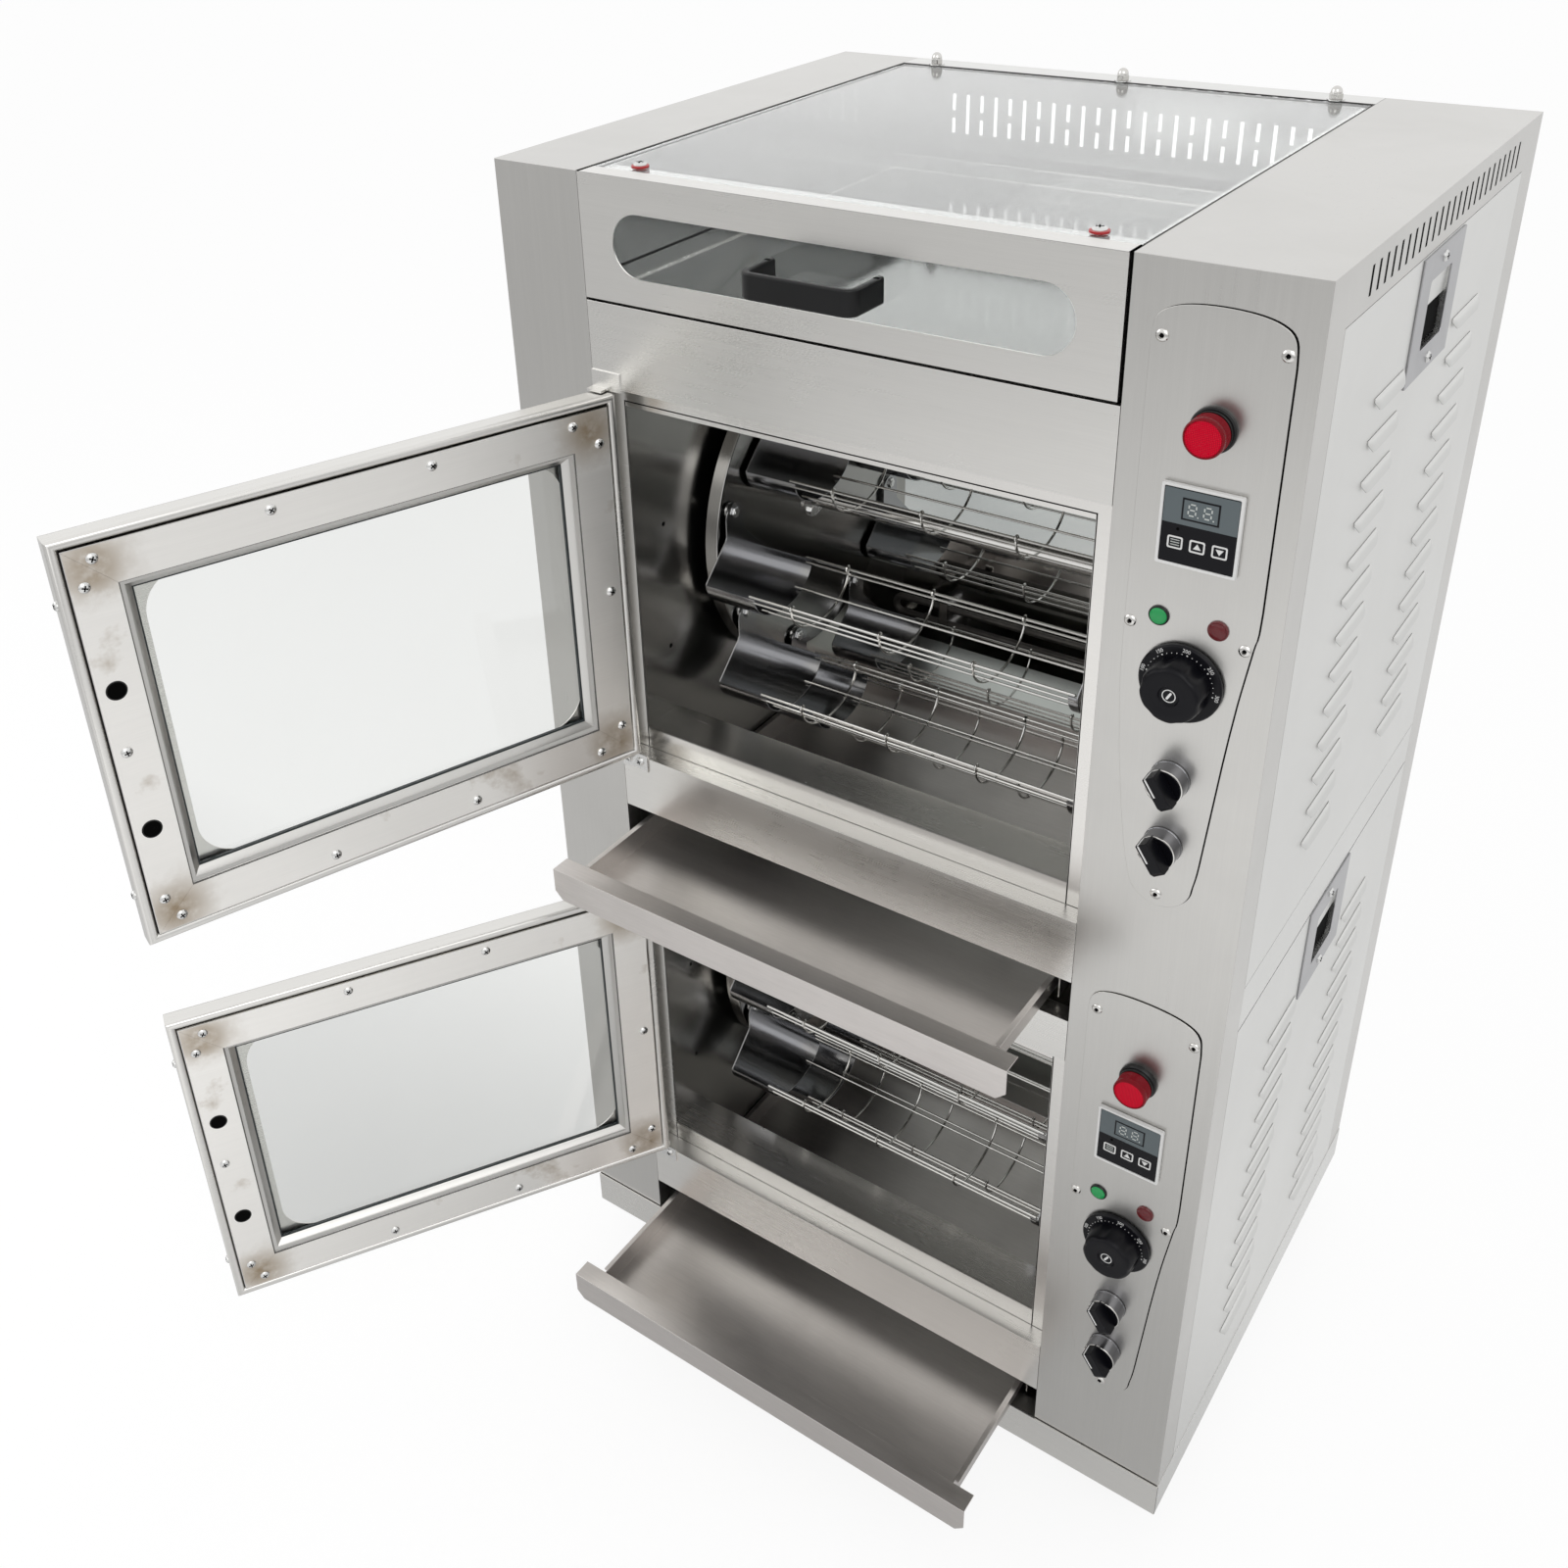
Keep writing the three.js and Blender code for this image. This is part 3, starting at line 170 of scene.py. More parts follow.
# Finger marks and wiped film: broad soft patches with a few sharper ones
def makeSmudgeGroup():
    tree, given, out = newGroup("handSmudges", {"Size": 6.0, "Amount": 0.5}, ("Film", "Spots"))
    filmRange, spotRange, spotScale = (0.38, 0.68), (0.6, 0.72), 9.0
    point = objectPoint(tree)
    broad = noise(tree, point, given["Size"], 4.0, 0.62, Distortion=0.4)
    tree.links.new(times(tree, ramp(tree, broad, *filmRange), given["Amount"]), out["Film"])
    close = noise(tree, point, times(tree, given["Size"], spotScale), 5.0, 0.7)
    tree.links.new(times(tree, ramp(tree, close, *spotRange), given["Amount"]), out["Spots"])
    return tree


# Heat colour left by welding and cooking: patches near the corners of a flat frame, and a few stray ones
def makeStainGroup():
    tree, given, out = newGroup("heatStains", {"Centre": (0, 0, 0), "Reach": (0.2, 1, 0.15), "Spread": 0.03},
                                ("Mask",))
    wobbleScale, wobbleReach, strayScale, innerEdge = 38.0, 0.05, 13.0, 0.004
    point = objectPoint(tree)
    folded = vectorNode(tree, "ABSOLUTE", vectorNode(tree, "SUBTRACT", point, given["Centre"]))
    away = vectorNode(tree, "LENGTH", vectorNode(tree, "SUBTRACT", folded, given["Reach"]), out="Value")
    wobble = noise(tree, point, wobbleScale, 4.0, 0.6)
    shifted = plus(tree, away, times(tree, mathNode(tree, "SUBTRACT", wobble, 0.5), wobbleReach))
    near = ramp(tree, shifted, given["Spread"], innerEdge, "SMOOTHSTEP", To_Min=0.0, To_Max=1.0)
    few = ramp(tree, noise(tree, point, strayScale, 5.0, 0.62), 0.6, 0.72, To_Max=0.55)
    broken = times(tree, near, ramp(tree, wobble, 0.3, 0.6, To_Min=0.35))
    tree.links.new(mathNode(tree, "MAXIMUM", broken, few), out["Mask"])
    return tree


grainGroup, smudgeGroup, stainGroup = makeGrainGroup(), makeSmudgeGroup(), makeStainGroup()


def placeGroup(tree, group, **sockets):
    return addNode(tree, "ShaderNodeGroup", {"node_tree": group}, **sockets).outputs


# A new material with its shader: each socket takes a value or a link
def newMaterial(name):
    material = bpy.data.materials.new(name)
    material.use_nodes = True
    tree = material.node_tree
    shader = tree.nodes["Principled BSDF"]

    def feed(**sockets):
        for key, value in sockets.items():
            setOrLink(tree, shader.inputs[key.replace("_", " ")], value)

    return material, tree, feed


def bumpNode(tree, strength, distance, height):
    return addNode(tree, "ShaderNodeBump", {}, Strength=strength, Distance=distance, Height=height).outputs[0]


def grey(colour, factor):
    return tuple(c * factor for c in colour[:3]) + (1,)


# Shares of a steel's roughness that its base, streaks, film and spots make
steelRough = {"base": 0.82, "streak": 0.36, "film": 0.42, "spots": 0.24}


# Stainless steel: grain, tone and film vary, the rest is on the shader
def steel(name, colour, rough, along=(30, 30, 1500), depth=0.5, tone=0.1, film=0.5, size=6.0, bump=0.04):
    material, tree, feed = newMaterial(name)
    grain = placeGroup(tree, grainGroup, Along=along, Depth=depth)
    marks = placeGroup(tree, smudgeGroup, Size=size, Amount=film)
    streaked = mixColour(tree, grain["Streak"], grey(colour, 1 - tone), grey(colour, 1 + tone))
    filmed = mixColour(tree, times(tree, marks["Film"], 0.5), streaked, grey(colour, 1 - 1.6 * tone))
    dull = plus(tree, times(tree, grain["Streak"], steelRough["streak"] * rough), steelRough["base"] * rough)
    dull = plus(tree, dull, times(tree, marks["Film"], steelRough["film"] * rough))
    dull = plus(tree, dull, times(tree, marks["Spots"], steelRough["spots"] * rough), True)
    feed(Base_Color=filmed, Metallic=1, Roughness=dull, Normal=bumpNode(tree, bump, 0.0004, grain["Height"]))
    return material


def stainedSteel(name, colour, rough, centre, reach, spread, stain):
    stainShare, stainRough = 0.95, 0.16
    material = steel(name, colour, rough, level, 0.4, 0.06, 0.6, 7.0, 0.03)
    tree = material.node_tree
    inputs = tree.nodes["Principled BSDF"].inputs
    mask = placeGroup(tree, stainGroup, Centre=centre, Reach=reach, Spread=spread)["Mask"]
    plain, dull = (inputs[key].links[0].from_socket for key in ("Base Color", "Roughness"))
    tree.links.new(mixColour(tree, times(tree, mask, stainShare), plain, stain + (1,)), inputs["Base Color"])
    tree.links.new(plus(tree, dull, times(tree, mask, stainRough), True), inputs["Roughness"])
    return material


# Moulded plastic or rubber: fine spark texture and a little dust
def moulded(name, colour, rough, film=0.3, bump=0.05, scale=2500.0, specular=0.5):
    material, tree, feed = newMaterial(name)
    marks = placeGroup(tree, smudgeGroup, Size=18.0, Amount=film)
    dusty = tuple(min(1, c * 1.3 + 0.006) for c in colour)
    feed(Base_Color=mixColour(tree, times(tree, marks["Film"], 0.35), colour + (1,), dusty + (1,)),
         Roughness=plus(tree, times(tree, marks["Film"], 0.15), rough), Specular_IOR_Level=specular,
         Normal=bumpNode(tree, bump, 0.0003, noise(tree, objectPoint(tree), scale, 2.0)))
    return material


def clearGlass(name, colour, rough, film=0.5, bend=1.45):
    material, tree, feed = newMaterial(name)
    marks = placeGroup(tree, smudgeGroup, Size=9.0, Amount=film)
    seen = mixColour(tree, marks["Film"], colour + (1,), grey(colour, 0.985))
    feed(Transmission_Weight=1, IOR=bend, Base_Color=seen,
         Roughness=plus(tree, times(tree, marks["Film"], 0.05), rough))
    return material


# Moulded lens with a crossed rib pattern, faintly lit from inside
def lens(name, colour, glow, ribs, coat=0.5, specular=0.25):
    material, tree, feed = newMaterial(name)
    point = objectPoint(tree)
    marks = placeGroup(tree, smudgeGroup, Size=30.0, Amount=0.4)
    crossed = times(tree, *(addNode(tree, "ShaderNodeTexWave", {"bands_direction": axis}, Vector=point,
                                    Scale=ribs).outputs["Fac"] for axis in ("X", "Z")))
    shaded = mixColour(tree, crossed, grey(colour, 0.6), grey(colour, 1.1))
    feed(Base_Color=shaded, Roughness=plus(tree, times(tree, marks["Film"], 0.12), 0.12),
         Emission_Color=shaded,
         Emission_Strength=glow, Coat_Weight=coat, Specular_IOR_Level=specular,
         Normal=bumpNode(tree, 0.5, 0.0006, crossed))
    return material


warm = (0.7, 0.69, 0.666)
upright, level, across = (1500, 1500, 24), (24, 1500, 1500), (1500, 24, 1500)
frontSteel = steel("frontSteel", warm, 0.27, level, 0.6, 0.07, 0.4)
# The columns, control plates and door steps take a darker copy of the front steel: painted shade
postSteel = steel("postSteel", grey(warm, 0.8), 0.29, upright, 0.6, 0.07, 0.4)
sideSteel = steel("sideSteel", (0.7, 0.7, 0.685), 0.36, across, 0.4, 0.04, 0.3)
# Painted shade: the louvre hoods take a darker copy of the side steel, standing in for the shading on them
louvrePaintedShadeSteel = steel("louvrePaintedShadeSteel", (0.65, 0.65, 0.637), 0.4, across, 0.4, 0.04, 0.3)
wellSteel = steel("wellSteel", (0.24, 0.245, 0.24), 0.085, level, 0.2, 0.04, 0.1, 4.0, 0.0)
liningSteel = steel("liningSteel", (0.43, 0.42, 0.4), 0.22, upright, 0.2, 0.04, 0.1, 3.0, 0.006)
backMirror = steel("backMirror", (0.62, 0.61, 0.59), 0.065, level, 0.1, 0.02, 0.04, 2.0, 0.0)
discSteel = steel("discSteel", (0.36, 0.355, 0.345), 0.17, upright, 0.1, 0.03, 0.1, 3.0, 0.0)
# Painted light: the upper back plate of each oven is a paler steel that glows a little, standing in for light
# falling on it
paintedGlowBack = steel("paintedGlowBack", (0.8, 0.8, 0.79), 0.35, level, 0.1, 0.03, 0.1, 3.0, 0.0)
paintedGlowInputs = paintedGlowBack.node_tree.nodes["Principled BSDF"].inputs
paintedGlowInputs["Emission Color"].default_value = (0.95, 1, 0.98, 1)
paintedGlowInputs["Emission Strength"].default_value = 0.36
panSteel = steel("panSteel", (0.61, 0.58, 0.56), 0.33, (40, 520, 520), 0.5, 0.15, 0.4, 7.0, 0.05)
# Brighter steel for the oven lips and shelves; on the drawer pan's folds and hem and on the base rail's hem
# it is a painted highlight
lipAndHighlightSteel = steel("lipAndHighlightSteel", (0.74, 0.725, 0.7), 0.25, level, 0.4, 0.07, 0.22, 6.0, 0.03)
# The troughs' dark steel colour is a painted reflection, standing in for the dark oven they reflect
troughSteel = steel("troughSteel", (0.34, 0.342, 0.35), 0.17, (8, 8, 8), 0.1, 0.03, 0.1, 3.0, 0.0)
brightSteel = steel("brightSteel", (0.62, 0.61, 0.59), 0.07, level, 0.1, 0.05, 0.3, 4.0, 0.0)
wireSteel = steel("wireSteel", (0.7, 0.69, 0.665), 0.18, (90, 90, 90), 0.1, 0.08, 0.5, 14.0, 0.0)
darkChrome = steel("darkChrome", (0.17, 0.17, 0.18), 0.08, upright, 0.1, 0.05, 0.3, 20.0, 0.0)
zincSteel = steel("zincSteel", (0.66, 0.66, 0.65), 0.24, (300, 300, 300), 0.3, 0.1, 0.5, 30.0, 0.02)
liftSteel = steel("liftSteel", (0.42, 0.42, 0.43), 0.34, upright, 0.4, 0.06, 0.4, 12.0, 0.03)
heaterSheath = steel("heaterSheath", (0.16, 0.15, 0.14), 0.5, (200, 200, 200), 0.5, 0.25, 0.9, 30.0, 0.1)
motorCasting = steel("motorCasting", (0.32, 0.33, 0.34), 0.5, (600, 600, 600), 0.8, 0.12, 0.6, 25.0, 0.2)
satinBlack = moulded("satinBlack", (0.005, 0.005, 0.0055), 0.3, specular=0.3)
dialBlack = moulded("dialBlack", (0.004, 0.004, 0.006), 0.32, 0.15, 0.03, specular=0.16)
glassRubber = moulded("glassRubber", (0.006, 0.012, 0.014), 0.4, 0.2, 0.03)
# Black rubber for seals and wheel hubs; on the door's step and above the base rail it is painted shade
gasketAndPaintedShadeBlack = moulded("gasketAndPaintedShadeBlack", (0.03, 0.028, 0.026), 0.6, 0.6, 0.1)
# Black for the timer's sensor; elsewhere painted shade, filling holes, screw slots, recesses and gaps between
# parts where shade falls
blackAndPaintedShade = moulded("blackAndPaintedShade", (0.001, 0.001, 0.001), 0.8, 0.1, specular=0.05)
tyreBlack = moulded("tyreBlack", (0.03, 0.03, 0.032), 0.55, 0.6, 0.08)
screenBlue = moulded("screenBlue", (0.1, 0.125, 0.135), 0.12, 0.25, 0.01)
digitPale = moulded("digitPale", (0.55, 0.58, 0.56), 0.4, 0.2, 0.02)
markWhite = moulded("markWhite", (0.8, 0.8, 0.79), 0.45, 0.2, 0.02)
lampGlass = moulded("lampGlass", (0.75, 0.73, 0.66), 0.35, 0.3, 0.1, 400.0)
redWasher = moulded("redWasher", (0.55, 0.02, 0.025), 0.35, 0.3)
redLens = lens("redLens", (0.62, 0.0, 0.022), 0.32, 260.0, 0.0, 0.1)
deepRedLens = lens("deepRedLens", (0.3, 0.0, 0.01), 0.06, 700.0, 0.1, 0.1)
greenLens = lens("greenLens", (0.006, 0.36, 0.09), 0.35, 900.0)
darkRedLens = lens("darkRedLens", (0.17, 0.003, 0.008), 0.1, 900.0)
doorGlass = clearGlass("doorGlass", (0.915, 0.925, 0.91), 0.01, 0.5)
topGlass = clearGlass("topGlass", (0.93, 0.94, 0.935), 0.0, 0.04, 1.3)
print("stage: materials")


# One visible piece, gathered from solids in millimetres that each keep their own finish
class Piece:
    def __init__(self, name):
        self.name, self.mesh, self.finishes = name, bmesh.new(), []

    def take(self, part, finish, stand=None):
        if finish not in self.finishes:
            self.finishes.append(finish)
        part.transform(Matrix.Scale(0.001, 4))
        if stand is not None:
            part.transform(stand)
        bmesh.ops.recalc_face_normals(part, faces=part.faces)
        index = self.finishes.index(finish)
        for face in part.faces:
            face.material_index, face.smooth = index, True
        held = bpy.data.meshes.new("held")
        part.to_mesh(held)
        part.free()
        self.mesh.from_mesh(held)
        bpy.data.meshes.remove(held)

    # Takes a part drawn in the cabinet's millimetres
    def put(self, part, finish):
        self.take(part, finish, Matrix.Translation(spot(0, 0, 0)))

    def done(self, body, replaced=(), slot=None, matrix=None):
        limit = math.radians(32)
        for edge in self.mesh.edges:
            edge.smooth = len(edge.link_faces) == 2 and edge.calc_face_angle(0) < limit
        data = bpy.data.meshes.new(self.name)
        self.mesh.to_mesh(data)
        self.mesh.free()
        for finish in self.finishes:
            data.materials.append(finish)
        return placePiece(self.name, data, body, replaced, matrix)


def placePiece(name, data, body, replaced=(), matrix=None):
    made = bpy.data.objects.new(name, data)
    bpy.context.scene.collection.objects.link(made)
    if matrix is not None:
        made.matrix_world = matrix
    even = made.modifiers.new("evenNormals", "WEIGHTED_NORMAL")
    even.keep_sharp = True
    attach(made, body)
    if replaced:
        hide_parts(*replaced)
    return made


def softenEdges(part, edge, segments=2, sharp=25):
    if edge > 0:
        limit = math.radians(sharp)
        chosen = [e for e in part.edges if len(e.link_faces) == 2 and e.calc_face_angle(0) > limit]
        bmesh.ops.bevel(part, geom=chosen, offset=edge, segments=segments, affect="EDGES", profile=0.5,
                        clamp_overlap=True)
    return part


# A plate or bar between two corners, edges eased
def plate(x, y, z, edge=0.4):
    part = bmesh.new()
    corners = [part.verts.new((a, b, c)) for a in x for b in y for c in z]
    for quad in ((0, 1, 3, 2), (4, 6, 7, 5), (0, 4, 5, 1), (2, 3, 7, 6), (0, 2, 6, 4), (1, 5, 7, 3)):
        part.faces.new([corners[i] for i in quad])
    return softenEdges(part, edge)


turnTo = {
    "z": Matrix.Identity(3), "x": Matrix(((0, 0, 1), (1, 0, 0), (0, 1, 0))),
    "y": Matrix(((0, 1, 0), (0, 0, 1), (1, 0, 0))),
}


# Extrudes closed outlines, the others as holes in the first.
# They read (y, z) along x, (z, x) along y and (x, y) along z
def pressed(axis, loops, span, edge=0.3, segments=2):
    part = bmesh.new()
    edges = []
    for loop in loops:
        ring = [part.verts.new((a, b, span[0])) for a, b in loop]
        edges += [part.edges.new((ring[i - 1], ring[i])) for i in range(len(ring))]
    bmesh.ops.triangle_fill(part, use_beauty=True, use_dissolve=False, edges=edges)
    bmesh.ops.dissolve_limit(part, angle_limit=0.01, verts=part.verts, edges=part.edges)
    top = bmesh.ops.extrude_face_region(part, geom=part.faces[:])
    moved = [v for v in top["geom"] if isinstance(v, bmesh.types.BMVert)]
    bmesh.ops.translate(part, vec=(0, 0, span[1] - span[0]), verts=moved)
    bmesh.ops.recalc_face_normals(part, faces=part.faces)
    softenEdges(part, edge, segments)
    part.transform(turnTo[axis].to_4x4())
    return part


# Joins rings of points with faces. A ring of one point is a tip
def joinRings(part, rings, sides):
    for low, high in zip(rings, rings[1:]):
        for i in range(sides):
            after = (i + 1) % sides
            quad = [low[i % len(low)], low[after % len(low)], high[after % len(high)], high[i % len(high)]]
            face = list(dict.fromkeys(quad))
            if len(face) > 2:
                part.faces.new(face)


# Turns a profile of (radius, along) about an axis. A looped one joins its end to its start
def turned(profile, sides=40, axis="z", centre=(0, 0, 0), looped=False):
    part = bmesh.new()
    rings = []
    for radius, along in [*profile, profile[0]] if looped else profile:
        if radius < 1e-6:
            rings.append([part.verts.new((0, 0, along))])
            continue
        angles = [2 * math.pi * i / sides for i in range(sides)]
        rings.append([part.verts.new((radius * math.cos(a), radius * math.sin(a), along)) for a in angles])
    joinRings(part, rings, sides)
    for ring in () if looped else (rings[0], rings[-1]):
        if len(ring) > 1:
            part.faces.new(ring)
    part.transform(Matrix.Translation(centre) @ turnTo[axis].to_4x4())
    return part


def circle(centre, radius, steps=32, start=0.0, sweep=2 * math.pi):
    count = steps if sweep > 6.28 else steps + 1
    angles = [start + sweep * i / steps for i in range(count)]
    return [(centre[0] + radius * math.cos(a), centre[1] + radius * math.sin(a)) for a in angles]


def square(a, b):
    return [(a[0], b[0]), (a[1], b[0]), (a[1], b[1]), (a[0], b[1])]


def roundedLoop(a, b, radius, steps=6):
    points = []
    corners = square((a[0] + radius, a[1] - radius), (b[0] + radius, b[1] - radius))
    for corner, start in zip(corners[1:] + corners[:1], (-90, 0, 90, 180)):
        points += circle(corner, radius, steps, math.radians(start), math.pi / 2)
    return points


# Moves the points of an outline, whose second measure reads backwards where flip is -1
def shift(points, a=0.0, b=0.0, flip=1):
    return [(a + u, b + flip * v) for u, v in points]


def centred(middle, half):
    return middle - half, middle + half


# A round wire along points
def wire(points, radius, sides=8):
    part = bmesh.new()
    path = [Vector(p) for p in points]
    side = None
    rings = []
    for i, point in enumerate(path):
        ahead = (path[min(i + 1, len(path) - 1)] - point).normalized()
        behind = (point - path[max(i - 1, 0)]).normalized()
        along = (ahead + behind).normalized()
        if side is None:
            side = along.orthogonal().normalized()
        side = (side - along * side.dot(along)).normalized()
        other = along.cross(side)
        rings.append([part.verts.new(point + radius * (math.cos(a) * side + math.sin(a) * other))
                      for a in (2 * math.pi * k / sides for k in range(sides))])
    joinRings(part, rings, sides)
    part.faces.new(rings[0])
    part.faces.new(rings[-1])
    return part


# Bends the corners of a path
def eased(points, radius, steps=5):
    path = [Vector(p) for p in points]
    bent = [path[0]]
    for before, corner, after in zip(path, path[1:], path[2:]):
        start, end = (corner + (other - corner).normalized() * radius for other in (before, after))
        for t in (k / steps for k in range(steps + 1)):
            bent.append((1 - t) ** 2 * start + 2 * t * (1 - t) * corner + t * t * end)
    return bent + [path[-1]]


# Sweeps a closed profile of (inset, depth) round a rectangle in the plane, corners mitred
def mitred(u, w, profile):
    part = bmesh.new()
    loops = []
    for inset, v in profile:
        corners = square((u[0] + inset, u[1] - inset), (w[0] + inset, w[1] - inset))
        loops.append([part.verts.new((a, v, b)) for a, b in corners])
    joinRings(part, [*loops, loops[0]], 4)
    return part


# A flat strap of rounded section swept along a path
def sweptStrap(path, width, thick, flat):
    part = bmesh.new()
    rings = []
    section = roundedLoop(centred(0, width / 2), centred(0, thick / 2), min(width, thick) * 0.3, 3)
    for i, point in enumerate(path):
        before, after = path[max(i - 1, 0)], path[min(i + 1, len(path) - 1)]
        out = (after - before).normalized().cross(flat).normalized()
        rings.append([part.verts.new(point + flat * a + out * b) for a, b in section])
    joinRings(part, rings, len(section))
    part.faces.new(rings[0])
    part.faces.new(rings[-1])
    return part


# A C handle, upright or lying, whose feet stand at a depth y
def strapHandle(handle, isUpright, foot=0.0):
    end, out = (handle["span"] - handle["bar"]) / 2, foot - handle["reach"] + handle["bar"] / 2
    corners = [(-end, foot), (-end, out), (end, out), (end, foot)]
    path = [(0, y, a) if isUpright else (a, y, 0) for a, y in corners]
    flat = Vector((1, 0, 0)) if isUpright else Vector((0, 0, 1))
    return sweptStrap(eased(path, handle["bend"], 6), handle["width"], handle["bar"], flat)


# Cross-slot screws: the head's profile in shares of its radius and height
screw = {"headShares": ((1, 0.25), (0.82, 0.68), (0.45, 0.94), (0, 1)), "sunk": 0.3, "armShare": 0.52,
         "slotShare": 0.12}


def addScrew(piece, centre, facing, radius=3.4, height=2.0, spin=0.4, origin=None):
    dome = [(radius, -screw["sunk"])] + [(a * radius, b * height) for a, b in screw["headShares"]]
    place = Matrix.Translation(origin or (0, 0, 0)) @ Matrix.Translation(Vector(centre) / 1000)
    turn = Vector(facing).to_track_quat("Z", "Y").to_matrix().to_4x4()
    stand = place @ turn @ Matrix.Rotation(spin, 4, "Z")
    piece.take(turned(dome, 18), zincSteel, stand)
    # The cross slot is a black plate: painted shade in the recess
    arm, width = centred(0, screw["armShare"] * radius), centred(0, screw["slotShare"] * radius)
    for x, y in ((arm, width), (width, arm)):
        piece.take(plate(x, y, (0.5 * height, height + 0.03), 0), blackAndPaintedShade, stand)


# Sheets of the cabinet that stay as drawn: eased edges and a finish
def carry(name, finish, edge=0.35):
    node = nodes[name]
    for held in node.material_slots:
        held.material = finish
    node.modifiers.new("weld", "WELD").merge_threshold = 0.00002
    if edge > 0:
        ease = node.modifiers.new("ease", "BEVEL")
        ease.width, ease.segments = edge / 1000, 2
        ease.limit_method, ease.angle_limit = "ANGLE", math.radians(40)
        node.modifiers.new("evenNormals", "WEIGHTED_NORMAL")


carried = {
    "base_frame": postSteel, "left_side_frame": postSteel, "right_side_frame": postSteel,
    "upper_fascia": frontSteel, "middle_fascia": frontSteel, "upper_apron": frontSteel,
    "lower_apron": frontSteel, "display_well": wellSteel, "upper_gear_motor": motorCasting,
    "lower_gear_motor": motorCasting,
}
for name, finish in carried.items():
    carry(name, finish)
for name, finish in (("top_glass", topGlass), ("drawer_window", topGlass), ("upper_door_glass", doorGlass),
                     ("lower_door_glass", doorGlass)):
    carry(name, finish, 0)
print("stage: cabinet sheets")


# Doors, drawn flat: u across from the hinge, v from outside to inside, z up.
# The profiles are in (inset from the door's edge, depth below its inner face)
door = {
    "width": 474, "height": 369, "hinge": (7.5, 4), "pivot": (99.5, -2.6), "thick": 18, "bottom": 110.5,
    "open": {"lower": 121.5, "upper": 110.2}, "stile": 44, "window": 52, "freeLap": 9, "corner": 34,
    "skin": 1.2, "roll": 4.3, "lip": 8, "groove": 9.2, "stripGap": 0.04, "holes": (109.5, 238.5),
    "holeIn": 24, "seal": ((8.7, 7), (8.7, 5), (9.6, 5), (9.6, 7)),
    "grooveWall": ((9.2, 7), (9.2, 0), (9.9, 0), (9.9, 7)),
    "slope": ((43.7, 1.2), (44.6, 0.7), (45.2, 2.2), (48.4, 3.2), (49.2, 4.8), (52.4, 7.7), (53.6, 8.5),
              (54, 9), (54, 12.2), (52.8, 12.2), (52.8, 9.4), (44, 3), (43.7, 1.6)),
    "shadow": ((43.5, 0.35), (44.9, 0.95), (44.9, 1.6), (43.5, 1)),
    "rubber": ((53.2, 8.8), (55.4, 9.6), (55.6, 12.2), (53.2, 12.2)),
    "eyelet": ((8.3, -0.2), (8.1, 0.25), (7.2, 0.25), (7, -0.2)),
    "eyeletCover": ((0, 0.02), (7.5, 0.02), (7.5, -1), (0, -1)),
    "screws": {"across": (44, 174, 309, 444), "up": (41, 184, 328), "in": 20, "edge": (48, 315)},
    "handle": {"span": 134, "reach": 43, "width": 21, "bar": 6, "bend": 9, "foot": 2, "footIn": 3,
               "footHalf": 7},
}


